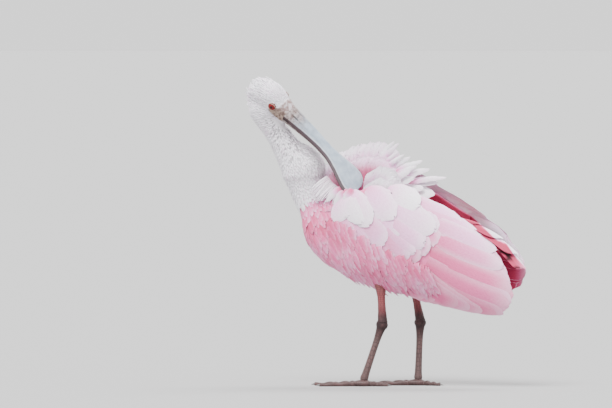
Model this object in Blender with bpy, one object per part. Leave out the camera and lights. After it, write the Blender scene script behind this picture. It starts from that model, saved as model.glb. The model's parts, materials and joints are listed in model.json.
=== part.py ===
# A roseate spoonbill, life size and still, preening: the head is turned back over the left shoulder.
# Metres, +Z up. X runs along the side view towards the tail, Y away from the viewer, the floor is Z = 0.
# Body places are (ahead, left, height): ahead of the hips, to the bird's left, above the floor.

import math
import random

import bmesh
import bpy
import numpy as np

# Stance
body_yaw = math.radians(20)  # the breast points a little away from the viewer
hips_x = 0.020
gap = 0.0004  # between one node and the next
sole_height = 0.0
random.seed(11)

# Torso: ahead, underside height, back height, half width
torso_stations = (
    (0.166, 0.262, 0.272, 0.006),
    (0.160, 0.238, 0.292, 0.024),
    (0.148, 0.217, 0.306, 0.036),
    (0.126, 0.196, 0.316, 0.047),
    (0.094, 0.179, 0.319, 0.054),
    (0.052, 0.165, 0.317, 0.056),
    (0.010, 0.150, 0.311, 0.055),
    (-0.030, 0.146, 0.301, 0.050),
    (-0.064, 0.156, 0.287, 0.041),
    (-0.092, 0.182, 0.271, 0.029),
    (-0.112, 0.212, 0.256, 0.017),
    (-0.122, 0.232, 0.246, 0.006),
)

# Folded wing's base surface: ahead, middle height, half height, half width
wing_sections = (
    (0.110, 0.252, 0.075, 0.050),
    (0.060, 0.247, 0.086, 0.060),
    (0.000, 0.237, 0.092, 0.062),
    (-0.050, 0.222, 0.090, 0.058),
    (-0.100, 0.206, 0.082, 0.051),
    (-0.150, 0.186, 0.070, 0.043),
    (-0.200, 0.166, 0.058, 0.035),
    (-0.240, 0.152, 0.050, 0.030),
)
wing_arc = 0.078  # metres of surface for each radian round the wing's section
wing_core_depth = 0.007
wing_raise = {"left": 0.0, "right": 0.020}
fan_lift = {"left": 0.0, "right": 0.022}  # the far wing's primaries are folded higher

# Head and bill
bill_base = np.array([-0.1615, 0.018, 0.4424])
bill_tip_y = -0.010
bill_pitch = math.radians(40.5)
bill_bend = math.radians(12)  # how much further down the bill points at its tip
bill_length = 0.168
head_roll = math.radians(48)  # the crown leans towards the viewer
eye_radius = 0.0072
eye_behind_base = 0.0215
eye_above_axis = 0.0105
eye_sunk = 0.0046

# Legs, in the side view's X and height, with the distance left of the middle
legs = {
    "left": {"side": 0.030, "hip": (-0.0110, 0.190), "hock": (-0.0065, 0.1030), "foot": (-0.0370, 0.0105)},
    "right": {"side": -0.030, "hip": (0.0400, 0.185), "hock": (0.0550, 0.1050), "foot": (0.0515, 0.0105)},
}
toe_thickness = 0.0092
toes = {  # turn from straight ahead in degrees, length
    "inner": (27, 0.062),
    "middle": (0, 0.078),
    "outer": (-27, 0.066),
    "hind": (172, 0.034),
}
claw_length = 0.0095
sole_press = 0.86  # height of a toe's middle over half its thickness: the sole is pressed flat

colours = {
    "white_down": ((0.86, 0.86, 0.88), 0.85),
    "pale_pink": ((0.90, 0.72, 0.78), 0.75),
    "rose": ((0.86, 0.48, 0.58), 0.75),
    "crimson": ((0.72, 0.10, 0.20), 0.70),
    "bill_horn": ((0.42, 0.47, 0.50), 0.45),
    "jaw_horn": ((0.28, 0.20, 0.19), 0.45),
    "iris": ((0.60, 0.02, 0.02), 0.10),
    "leg_skin": ((0.30, 0.14, 0.13), 0.55),
    "claw_horn": ((0.05, 0.04, 0.04), 0.40),
}


# Scene, collections and materials
def clear_scene():
    for old in list(bpy.data.objects):
        bpy.data.objects.remove(old)


def new_collection(name, hidden):
    collection = bpy.data.collections.new(name)
    bpy.context.scene.collection.children.link(collection)
    collection.hide_render = hidden
    return collection


def material(name):
    found = bpy.data.materials.get(name)
    if found:
        return found
    colour, roughness = colours[name]
    made = bpy.data.materials.new(name)
    made.use_nodes = True
    shader = made.node_tree.nodes["Principled BSDF"]
    shader.inputs["Base Color"].default_value = (*colour, 1.0)
    shader.inputs["Roughness"].default_value = roughness
    return made


# Frames
def unit(vector):
    return vector / np.linalg.norm(vector, axis=-1, keepdims=True)


forward = np.array([-math.cos(body_yaw), math.sin(body_yaw), 0.0])
leftward = np.array([-math.sin(body_yaw), -math.cos(body_yaw), 0.0])
upward = np.array([0.0, 0.0, 1.0])
hips = np.array([hips_x, 0.0, 0.0])


def body_point(ahead, left, height):
    """World place of a point ahead of the hips, left of the middle and above the floor."""
    ahead = np.asarray(ahead, float)[..., None]
    left = np.asarray(left, float)[..., None]
    height = np.asarray(height, float)[..., None]
    return hips + ahead * forward + left * leftward + height * upward


def side_view_point(x, left, height):
    """World place of a point seen at x in the side view, that far left of the bird's middle."""
    ahead = (hips_x - x - left * math.sin(body_yaw)) / math.cos(body_yaw)
    return body_point(ahead, left, height)


def smooth_through(stations, count):
    """A smooth curve through the stations, read at count even steps."""
    stations = np.asarray(stations, float)
    padded = np.vstack([2 * stations[0] - stations[1], stations, 2 * stations[-1] - stations[-2]])
    place = np.linspace(0, len(stations) - 1, count)
    first = np.minimum(place.astype(int), len(stations) - 2)
    t = (place - first)[:, None]
    p0, p1, p2, p3 = (padded[first + k] for k in range(4))
    return 0.5 * (2 * p1 + (p2 - p0) * t + (2 * p0 - 5 * p1 + 4 * p2 - p3) * t**2
                  + (3 * p1 - p0 - 3 * p2 + p3) * t**3)


def along(line, share):
    """The point a share of the way down a line of a few points, by even steps of its points."""
    line = np.asarray(line, float)
    place = share * (len(line) - 1)
    return np.array([np.interp(place, range(len(line)), line[:, k]) for k in range(line.shape[1])])


# Meshes
def mesh_object(name, points, faces, finish, collection):
    mesh = bpy.data.meshes.new(name)
    mesh.from_pydata([tuple(p) for p in points], [], faces)
    mesh.update()
    made = bpy.data.objects.new(name, mesh)
    collection.objects.link(made)
    made.display_type = "WIRE" if collection.hide_render else "TEXTURED"
    mesh.materials.append(material(finish))
    tidy = bmesh.new()
    tidy.from_mesh(mesh)
    bmesh.ops.recalc_face_normals(tidy, faces=tidy.faces)
    tidy.to_mesh(mesh)
    tidy.free()
    return made


def loft(name, rings, finish, collection, turned=()):
    """A closed skin over rings of points, each end closed with a fan to its middle.
    The sides named in turned are split along their other diagonal."""
    rings = np.asarray(rings, float)
    count, around = rings.shape[:2]
    points = np.vstack([rings.reshape(-1, 3), rings[0].mean(axis=0), rings[-1].mean(axis=0)])
    faces = []
    for i in range(count - 1):
        for j in range(around):
            k = (j + 1) % around
            a, b = i * around + j, i * around + k
            c, d = a + around, b + around
            faces += [(a, b, c), (b, d, c)] if j in turned else [(a, b, d), (a, d, c)]
    for j in range(around):
        k = (j + 1) % around
        faces.append((j, count * around, k))
        last = (count - 1) * around
        faces.append((last + j, last + k, count * around + 1))
    return mesh_object(name, points, faces, finish, collection)


def ring_set(path, side_reach, up_reach, up_hint, around):
    """Elliptical rings square to a path: side_reach and up_reach are half widths at each of its points.
    Each ring has a flat at its lowest side."""
    path = np.asarray(path, float)
    heading = unit(np.gradient(path, axis=0))
    side = unit(np.cross(heading, up_hint))
    up = np.cross(side, heading)
    turn = (np.arange(around) + 0.5) * 2 * math.pi / around - math.pi / 2
    side_reach = np.broadcast_to(side_reach, len(path))[:, None, None]
    up_reach = np.broadcast_to(up_reach, len(path))[:, None, None]
    return (path[:, None] + side[:, None] * np.cos(turn)[None, :, None] * side_reach
            + up[:, None] * np.sin(turn)[None, :, None] * up_reach)


def ball(name, centre, radius, finish, collection, segments=16, rings=9):
    mesh = bpy.data.meshes.new(name)
    build = bmesh.new()
    bmesh.ops.create_uvsphere(build, u_segments=segments, v_segments=rings, radius=radius)
    build.to_mesh(mesh)
    build.free()
    made = bpy.data.objects.new(name, mesh)
    made.location = centre
    collection.objects.link(made)
    mesh.materials.append(material(finish))
    bpy.context.view_layer.update()
    return made


# Feather vanes: share of the length, share of the full width
vane_outline = ((0.0, 0.26), (0.30, 0.78), (0.68, 1.0), (0.92, 0.72), (1.0, 0.24))
vane_thickness = 0.0010
vane_root_sunk = 0.0022  # how far below the bed a root starts
root_rise = 0.35  # share of the length over which a vane rises to its tier
scatter = 0.0022  # how far a tip strays from its tier's line


def vane(name, surface, root, tip, width, lift, roll, finish, collection, sag=0.0):
    """One feather laid on a surface that takes two chart distances and a lift. Its upper edge
    lies lower than its lower edge by roll, so that each slips under the one above."""
    root, tip = np.asarray(root, float), np.asarray(tip, float)
    way = (tip - root) / np.linalg.norm(tip - root)
    across = np.array([-way[1], way[0]])
    share, wide = np.asarray(vane_outline).T
    middle = root + (tip - root) * share[:, None] + across * (sag * np.sin(math.pi * share))[:, None]
    rise = np.minimum(1.0, share / root_rise)
    level = -vane_root_sunk + (lift + vane_root_sunk) * rise
    half_thick = vane_thickness / 2 * (1 - 0.4 * share)
    corners = []
    for edge, face in ((-1, 1), (1, 1), (1, -1), (-1, -1)):
        chart = middle + across * (edge * width / 2 * wide)[:, None]
        corners.append(surface(chart[:, 0], chart[:, 1], level - edge * roll / 2 * wide + face * half_thick))
    return loft(name, np.stack(corners, axis=1), finish, collection, turned=(2,))


def tier(surface, roots, tips, count, width, lift, roll, finish, collection, sag=0.0):
    """A row of overlapping vanes whose roots and tips lie along two lines."""
    made = []
    for k in range(count):
        share = k / (count - 1)
        stray = np.array([random.uniform(-scatter, scatter), random.uniform(-scatter, scatter)])
        made.append(vane("vane", surface, along(roots, share), along(tips, share) + stray,
                         width * random.uniform(0.94, 1.06), lift + 0.0003 * (k % 2), roll, finish,
                         collection, sag))
    return made


# Booleans
def keep_largest(mesh):
    """Leaves only the largest closed surface of a mesh."""
    build = bmesh.new()
    build.from_mesh(mesh)
    bmesh.ops.triangulate(build, faces=build.faces)
    left = set(build.faces)
    shells = []
    while left:
        shell, edge = set(), [left.pop()]
        while edge:
            face = edge.pop()
            shell.add(face)
            for near in {f for e in face.edges if len(e.link_faces) == 2 for f in e.link_faces} & left:
                left.discard(near)
                edge.append(near)
        volume = sum(f.verts[0].co.cross(f.verts[1].co).dot(f.verts[2].co) for f in shell)
        shells.append((abs(volume), shell))
    shells.sort(key=lambda pair: -pair[0])
    scraps = [face for _, shell in shells[1:] for face in shell]
    bmesh.ops.delete(build, geom=scraps, context="FACES")
    build.to_mesh(mesh)
    build.free()


def boolean(target, others, operation):
    """Joins the closed meshes in others to the target, or cuts them from it, and removes them."""
    group = bpy.data.collections.new("operands")
    bpy.context.scene.collection.children.link(group)
    for other in others:
        for owner in list(other.users_collection):
            owner.objects.unlink(other)
        group.objects.link(other)
    step = target.modifiers.new(operation.lower(), "BOOLEAN")
    step.operation = operation
    step.solver = "MANIFOLD"
    step.operand_type = "COLLECTION"
    step.collection = group
    bpy.context.view_layer.update()
    result = bpy.data.meshes.new_from_object(target.evaluated_get(bpy.context.evaluated_depsgraph_get()))
    target.modifiers.clear()
    old = target.data
    target.data = result
    bpy.data.meshes.remove(old)
    for other in list(group.objects):
        bpy.data.objects.remove(other)
    bpy.data.collections.remove(group)
    keep_largest(target.data)
    return target


def swollen(source, by):
    """A copy of an object grown by a small distance along its own normals."""
    grown = source.copy()
    grown.data = source.data.copy()
    bpy.context.scene.collection.objects.link(grown)
    build = bmesh.new()
    build.from_mesh(grown.data)
    bmesh.ops.remove_doubles(build, verts=build.verts, dist=1e-6)
    build.normal_update()
    shifts = [(v, v.normal * by * v.calc_shell_factor()) for v in build.verts]
    for vert, shift in shifts:
        vert.co += shift
    build.to_mesh(grown.data)
    build.free()
    return grown


def clear_of(target, others, by=gap):
    """Cuts the target back so that it keeps a small gap to each of the others."""
    return boolean(target, [swollen(other, by) for other in others], "DIFFERENCE")


# Torso and neck
def make_torso(birds):
    ahead, low, high, half = smooth_through(torso_stations, 21).T
    around = np.linspace(0, 2 * math.pi, 20, endpoint=False)
    middle, reach = (low + high) / 2, (high - low) / 2
    rings = body_point(
        ahead[:, None] + 0 * around,
        half[:, None] * np.cos(around) * (1 - 0.10 * np.sin(around)),
        middle[:, None] + reach[:, None] * np.sin(around),
    )
    return loft("torso", rings, "rose", birds)


# Neck line: X, Y, Z and radius, from the nape down into the breast
neck_stations = (
    (-0.2110, 0.026, 0.4700, 0.0040),
    (-0.2085, 0.026, 0.4655, 0.0160),
    (-0.2040, 0.027, 0.4570, 0.0235),
    (-0.1985, 0.028, 0.4450, 0.0255),
    (-0.1900, 0.030, 0.4290, 0.0232),
    (-0.1770, 0.033, 0.4110, 0.0222),
    (-0.1575, 0.036, 0.3830, 0.0275),
    (-0.1365, 0.041, 0.3560, 0.0395),
    (-0.1290, 0.044, 0.3260, 0.0320),
    (-0.1170, 0.044, 0.2980, 0.0320),
    (-0.1000, 0.040, 0.2700, 0.0340),
)
neck_split = 0.64  # share of the line where the upper length ends
neck_flatness = 0.84


def make_neck(birds, torso):
    line = smooth_through(neck_stations, 25)
    split = round(neck_split * (len(line) - 1))
    lower = ring_set(line[split:, :3], line[split:, 3], line[split:, 3] * neck_flatness, (0, 1, 0), 18)
    upper = ring_set(line[: split + 1, :3], line[: split + 1, 3], line[: split + 1, 3] * neck_flatness,
                     (0, 1, 0), 18)
    neck_lower = loft("neck_lower", lower, "white_down", birds)
    clear_of(neck_lower, [torso])
    neck_upper = loft("neck_upper", upper, "white_down", birds)
    return neck_upper, neck_lower


# Head frame: forward along the bill, dorsal out of the crown, rightward to the bird's right
head_yaw = math.asin((bill_base[1] - bill_tip_y) / bill_length)
head_forward = np.array([math.cos(bill_pitch) * math.cos(head_yaw), -math.sin(head_yaw),
                         -math.sin(bill_pitch) * math.cos(head_yaw)])
level_up = unit(np.cross(np.array([0.0, -1.0, 0.0]), head_forward))
to_viewer = np.cross(head_forward, level_up)
head_dorsal = math.cos(head_roll) * level_up + math.sin(head_roll) * to_viewer
head_right = np.cross(head_forward, head_dorsal)

# Head: distance ahead of the bill's base, half width, half height, lift of its middle
head_stations = (
    (-0.0750, 0.0030, 0.0030, -0.003),
    (-0.0725, 0.0100, 0.0105, -0.003),
    (-0.0660, 0.0180, 0.0190, -0.002),
    (-0.0540, 0.0242, 0.0262, 0.000),
    (-0.0400, 0.0258, 0.0284, 0.001),
    (-0.0270, 0.0242, 0.0268, 0.001),
    (-0.0150, 0.0216, 0.0232, 0.000),
    (-0.0050, 0.0192, 0.0192, 0.000),
    (0.0020, 0.0180, 0.0166, 0.000),
)


def head_point(ahead, right, up):
    ahead = np.asarray(ahead, float)[..., None]
    right = np.asarray(right, float)[..., None]
    up = np.asarray(up, float)[..., None]
    return bill_base + ahead * head_forward + right * head_right + up * head_dorsal


def eye_place(side):
    """Centre of an eye and the way it looks out; side is +1 for the bird's right."""
    table = np.asarray(head_stations)
    half, tall, lift = (np.interp(-eye_behind_base, table[:, 0], table[:, k]) for k in (1, 2, 3))
    up = eye_above_axis - lift
    out = half * math.sqrt(1 - (up / tall) ** 2)
    look = unit(np.array([0.12, side * out / half**2 * half, up / tall**2 * tall]))
    surface = np.array([-eye_behind_base, side * out, eye_above_axis])
    centre = surface - eye_sunk * look
    return head_point(*centre), look[0] * head_forward + look[1] * head_right + look[2] * head_dorsal


def ring_round(name, centre, axis, radius, thickness, finish, collection, around=14):
    """A torus about an axis, as the fleshy ring of an eyelid."""
    aside = unit(np.cross(axis, head_forward))
    third = np.cross(axis, aside)
    turn = np.linspace(0, 2 * math.pi, around, endpoint=False)
    spoke = np.cos(turn)[:, None] * aside + np.sin(turn)[:, None] * third
    faces, points, small = [], [], 5
    for i in range(around):
        for j in range(small):
            lean = 2 * math.pi * j / small
            points.append(centre + spoke[i] * (radius + thickness * math.cos(lean))
                          + axis * thickness * math.sin(lean))
            a, b = i * small + j, i * small + (j + 1) % small
            c, d = ((i + 1) % around) * small + j, ((i + 1) % around) * small + (j + 1) % small
            faces += [(a, b, d), (a, d, c)]
    return mesh_object(name, points, faces, finish, collection)


def make_head(birds, cutters):
    ahead, half, tall, lift = smooth_through(head_stations, 14).T
    turn = np.linspace(0, 2 * math.pi, 18, endpoint=False)
    rings = head_point(ahead[:, None] + 0 * turn, half[:, None] * np.cos(turn),
                       lift[:, None] + tall[:, None] * np.sin(turn))
    head = loft("head", rings, "white_down", birds)
    eyes, lids, slits = [], [], []
    for side, name in ((1, "right"), (-1, "left")):
        centre, look = eye_place(side)
        eyes.append(ball("eye_" + name, centre, eye_radius, "iris", birds))
        lid_radius = math.sqrt(eye_radius**2 - eye_sunk**2) + 0.0010
        lids.append(ring_round("lid_" + name, centre + look * (eye_sunk + 0.0002), look, lid_radius,
                               0.0014, "white_down", cutters))
        gape = np.array([head_point(-x, side * 0.0235, -0.0055) for x in (-0.010, 0.004, 0.016)])
        slits.append(loft("gape_" + name, ring_set(gape, 0.0042, 0.0006, head_dorsal, 8),
                          "white_down", cutters))
    boolean(head, lids, "UNION")
    boolean(head, slits, "DIFFERENCE")
    clear_of(head, eyes)
    return head, eyes


# Bill: share of its length, half width, half depth of the upper part
bill_stations = (
    (0.00, 0.0172, 0.0150),
    (0.10, 0.0160, 0.0122),
    (0.25, 0.0146, 0.0086),
    (0.42, 0.0132, 0.0058),
    (0.57, 0.0142, 0.0044),
    (0.70, 0.0192, 0.0038),
    (0.82, 0.0250, 0.0036),
    (0.91, 0.0268, 0.0034),
    (0.97, 0.0218, 0.0029),
    (1.00, 0.0120, 0.0022),
)
mouth_gap = 0.0006


def bill_line(share):
    """Centre line of the bill: it leaves the head along the axis and bends slowly down."""
    share = np.asarray(share, float)
    angle = bill_bend * share**1.4
    step = bill_length * share
    return (bill_base + (0.0035 + step * np.cos(angle * 0.6))[..., None] * head_forward
            - (step * np.sin(angle * 0.6))[..., None] * level_up)


def bill_rings(over):
    """Rings of the upper part (over = +1) or the lower part (-1): a dome on a flat."""
    share, half, tall = smooth_through(bill_stations, 17).T
    depth = tall if over > 0 else 0.72 * tall
    line = bill_line(share)
    turn = np.linspace(0, math.pi, 8)
    across = np.cos(turn)[None, :, None] * half[:, None, None] * head_right
    dome = np.sin(turn)[None, :, None] ** 0.9 * depth[:, None, None] + mouth_gap / 2
    return line[:, None] + across + over * dome * head_dorsal


def make_bill(birds, cutters, head):
    upper = loft("bill_upper", bill_rings(1), "bill_horn", birds)
    lower = loft("bill_lower", bill_rings(-1), "jaw_horn", birds)
    nostrils = []
    for side in (1, -1):
        line = np.array([bill_line(s) + side * (0.0062 + 0.0022 * k) * head_right
                         + (0.0128 - 0.0018 * k) * head_dorsal
                         for k, s in enumerate((0.060, 0.095, 0.130))])
        nostrils.append(loft("nostril", ring_set(line, 0.0010, 0.0022, head_dorsal, 8), "jaw_horn", cutters))
    boolean(upper, nostrils, "DIFFERENCE")
    clear_of(upper, [head])
    clear_of(lower, [head])
    return upper, lower


# Folded wing
def wing_section(ahead):
    table = np.asarray(wing_sections)[::-1]
    return (np.interp(ahead, table[:, 0], table[:, k]) for k in (1, 2, 3))


def flank(side, ahead, arc, lift):
    """A point on the folded wing: arc is its distance up round the section from mid height."""
    ahead = np.asarray(ahead, float)
    middle, tall, half = wing_section(ahead)
    turn = np.clip(np.asarray(arc, float) / wing_arc, -1.45, 1.45)
    out = half * np.cos(turn)
    up = tall * np.sin(turn)
    normal = unit(np.stack([out / half**2, up / tall**2], axis=-1))
    out = out + lift * normal[..., 0]
    up = up + lift * normal[..., 1] + middle + wing_raise[side]
    return body_point(ahead, out if side == "left" else -out, up)


def arc_at(ahead, height):
    middle, tall, _ = wing_section(ahead)
    return wing_arc * math.asin(max(-0.99, min(0.99, (height - middle) / tall)))


wing_top = ((0.085, 0.300), (0.040, 0.316), (0.000, 0.312), (-0.060, 0.284), (-0.110, 0.256))
wing_hem = ((0.085, 0.222), (0.040, 0.188), (0.000, 0.180), (-0.050, 0.176), (-0.090, 0.186))

# Tiers of the folded wing, innermost first: how many, width, lift, then roots and tips by ahead and height
wing_tiers = (
    (6, 0.036, 0.0010, ((-0.080, 0.250), (-0.062, 0.226), (-0.052, 0.200), (-0.050, 0.186)),
     ((-0.173, 0.224), (-0.188, 0.198), (-0.202, 0.172), (-0.206, 0.150), (-0.200, 0.133),
      (-0.184, 0.120), (-0.160, 0.118))),
    (7, 0.034, 0.0034, ((-0.046, 0.196), (0.000, 0.190), (0.050, 0.215)),
     ((-0.145, 0.121), (-0.112, 0.131), (-0.080, 0.141), (-0.050, 0.150), (-0.020, 0.158), (0.014, 0.172))),
    (4, 0.030, 0.0040, ((-0.010, 0.300), (-0.036, 0.282), (-0.060, 0.256)),
     ((-0.118, 0.266), (-0.140, 0.251), (-0.160, 0.236), (-0.176, 0.212))),
    (7, 0.029, 0.0064, ((-0.030, 0.276), (0.010, 0.250), (0.050, 0.238), (0.080, 0.250)),
     ((-0.092, 0.257), (-0.070, 0.238), (-0.053, 0.222), (-0.030, 0.212), (-0.003, 0.207),
      (0.024, 0.207), (0.050, 0.216))),
    (5, 0.029, 0.0094, ((0.016, 0.304), (0.048, 0.284), (0.082, 0.278)),
     ((-0.042, 0.276), (-0.022, 0.251), (0.000, 0.238), (0.024, 0.232), (0.052, 0.238))),
    (5, 0.031, 0.0124, ((0.020, 0.319), (0.052, 0.318), (0.086, 0.300)),
     ((-0.030, 0.300), (-0.013, 0.275), (0.010, 0.257), (0.034, 0.260), (0.060, 0.276))),
)
primary_tier = 0
vane_roll = 0.0034
vane_sag = 0.004


def wing_core(side, birds):
    """The wing's arm and the bed that its feathers grow from, as one curved slab between two edge lines."""
    rows = []
    for share in np.linspace(0, 1, 11):
        upper, lower = along(wing_top, share), along(wing_hem, share)
        t = np.linspace(0, 1, 7)
        ahead = upper[0] + (lower[0] - upper[0]) * t
        high, low = arc_at(*upper), arc_at(*lower)
        arc = high + (low - high) * t
        thick = wing_core_depth * min(1.0, 0.25 + 4 * min(share, 1 - share))
        outer = flank(side, ahead, arc, 0.0 * t)
        inner = flank(side, ahead, arc, -thick * (0.35 + 0.65 * np.sin(math.pi * t)))
        rows.append(np.vstack([outer, inner[::-1]]))
    return loft("wing_" + side, rows, "pale_pink", birds)


def make_wing(side, birds, cutters, blockers):
    wing = wing_core(side, birds)
    vanes = []
    for number, (count, width, lift, roots, tips) in enumerate(wing_tiers):
        raised = fan_lift[side] if number == primary_tier else 0.5 * fan_lift[side] * (number == 1)
        fan = [(ahead, height + raised * max(0.0, (0.23 - height) / 0.11)) for ahead, height in tips]
        vanes += tier(lambda a, b, up: flank(side, a, b, up), [(a, arc_at(a, h)) for a, h in roots],
                      [(a, arc_at(a, h)) for a, h in fan], count, width, lift, vane_roll,
                      "pale_pink", cutters, vane_sag)
    boolean(wing, vanes, "UNION")
    clear_of(wing, blockers)
    return wing


# Tail: its middle line from the rump, by ahead and height
tail_line = ((-0.088, 0.262), (-0.120, 0.256), (-0.160, 0.238), (-0.190, 0.216), (-0.213, 0.190))
tail_droop = 4.0  # how far the outer feathers turn down, for each metre squared off the middle

# Rows of the tail: how many, width, lift, root and tip along the line, half spread at root and tip
tail_rows = (
    (7, 0.021, 0.0000, 0.02, 1.00, 0.012, 0.022),
    (4, 0.024, 0.0062, -0.06, 0.56, 0.013, 0.018),
    (3, 0.026, 0.0096, -0.20, 0.26, 0.012, 0.014),
    (3, 0.026, -0.0082, 0.06, 0.52, 0.010, 0.014),
)
tail_step = 0.0014  # how much lower each feather lies than the next one inwards


def tail_surface(down, across, lift):
    """A point on the tail: down is the share of its line, across the distance to the left."""
    down = np.asarray(down, float)
    line = smooth_through(tail_line, 41)
    step = np.gradient(line, axis=0)
    share = np.linspace(0, 1, 41)
    past = np.minimum(down, 0.0)[..., None] * (line[-1] - line[0]) * 0.9
    place = np.stack([np.interp(down, share, line[:, k]) for k in (0, 1)], axis=-1) + past * (1.0, 0.35)
    way = unit(np.stack([np.interp(down, share, step[:, k]) for k in (0, 1)], axis=-1))
    normal = np.stack([way[..., 1], -way[..., 0]], axis=-1)
    drop = tail_droop * np.asarray(across) ** 2
    place = place + normal * np.asarray(lift)[..., None]
    return body_point(place[..., 0], across, place[..., 1] - drop)


def make_tail(birds, cutters, torso, wings):
    chart = np.linspace(-0.02, 0.42, 6)
    wide = np.array([0.012, 0.016, 0.018, 0.018, 0.016, 0.010])
    thick = np.array([0.009, 0.010, 0.009, 0.0075, 0.006, 0.004])
    turn = np.linspace(0, 2 * math.pi, 12, endpoint=False)
    rings = [tail_surface(c + 0 * turn, w * np.cos(turn), t * np.sin(turn)) for c, w, t in zip(chart, wide, thick)]
    tail = loft("tail", rings, "crimson", birds)
    length = tail_length()
    vanes = []
    for count, width, lift, start, end, root_spread, tip_spread in tail_rows:
        for k in range(count):
            side = 2 * k / (count - 1) - 1
            reach = end - 0.05 * side**2 + random.uniform(-0.01, 0.01)
            inwards = (count - 1) / 2 * (1 - abs(side)) + 0.25 * (side > 0)
            level = lift + math.copysign(tail_step * inwards, lift)
            vanes.append(vane("vane", lambda d, w, up: tail_surface(d / length, w, up),
                              (start * length, side * root_spread), (reach * length, side * tip_spread),
                              width, level, 0.0, "crimson", cutters))
    boolean(tail, vanes, "UNION")
    clear_of(tail, [torso, *wings])
    return tail


def tail_length():
    line = smooth_through(tail_line, 41)
    return float(np.linalg.norm(np.diff(line, axis=0), axis=1).sum())


# Ruffled mantle: rows of raised plumes as (how many, width, left at the root and at the tip, roots, tips),
# with roots and tips by their place along the side view and their height
mantle_rows = (
    (9, 0.028, -0.022, -0.020,
     ((-0.080, 0.306), (-0.056, 0.320), (-0.030, 0.330), (0.000, 0.326), (0.030, 0.312)),
     ((-0.100, 0.350), (-0.078, 0.372), (-0.054, 0.384), (-0.032, 0.391), (-0.008, 0.394), (0.021, 0.393),
      (0.044, 0.374), (0.062, 0.362), (0.095, 0.334))),
    (6, 0.027, -0.008, -0.006,
     ((-0.050, 0.322), (-0.020, 0.328), (0.028, 0.312)),
     ((-0.040, 0.368), (-0.010, 0.379), (0.019, 0.381), (0.038, 0.370), (0.058, 0.352), (0.078, 0.308))),
    (5, 0.026, 0.008, 0.012,
     ((-0.040, 0.322), (-0.010, 0.322), (0.012, 0.312)),
     ((-0.030, 0.352), (-0.008, 0.358), (0.014, 0.351), (0.018, 0.338), (0.022, 0.324), (0.030, 0.312))),
)
plume_bow = 0.006  # how far a plume bows up and back


def plume(root, tip, width, turn, cutters):
    """A raised feather between two points, bowed, its face turned between the viewer and the sky."""
    span = tip - root
    facing = unit(np.array([0.25, -math.cos(turn), math.sin(turn)]))
    across = unit(np.cross(span, facing))
    facing = unit(np.cross(across, span))
    share, wide = np.asarray(vane_outline).T
    middle = root + span * share[:, None] + facing * (plume_bow * np.sin(math.pi * share))[:, None]
    middle = middle + upward * (0.5 * plume_bow * np.sin(math.pi * share))[:, None]
    half_thick = vane_thickness / 2 * (1.1 - 0.4 * share)
    corners = [middle + across * (edge * width / 2 * wide)[:, None] + facing * (face * half_thick)[:, None]
               for edge, face in ((-1, 1), (1, 1), (1, -1), (-1, -1))]
    return loft("plume", np.stack(corners, axis=1), "pale_pink", cutters, turned=(2,))


def make_mantle(birds, cutters, blockers):
    bed = np.array([side_view_point(*p) for p in (
        (-0.086, -0.004, 0.303), (-0.055, -0.005, 0.319), (-0.010, -0.008, 0.322), (0.025, -0.010, 0.312),
        (0.050, -0.008, 0.300))])
    path = smooth_through(bed, 9)
    swell = np.sin(np.linspace(0.35, 2.8, 9))
    mantle = loft("mantle", ring_set(path, 0.031 * swell, 0.014 * swell, upward, 14), "pale_pink", birds)
    plumes = []
    for count, width, root_left, tip_left, roots, tips in mantle_rows:
        for k in range(count):
            share = k / (count - 1)
            (root_x, root_z), (tip_x, tip_z) = along(roots, share), along(tips, share)
            stray = random.uniform(-scatter, scatter)
            plumes.append(plume(side_view_point(root_x, root_left, root_z),
                                side_view_point(tip_x, tip_left + 2 * stray, tip_z + stray),
                                width * random.uniform(0.9, 1.1), 0.30 + 0.30 * (k % 2), cutters))
    boolean(mantle, plumes, "UNION")
    for blocker in blockers:
        clear_of(mantle, [blocker])
    return mantle


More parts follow.
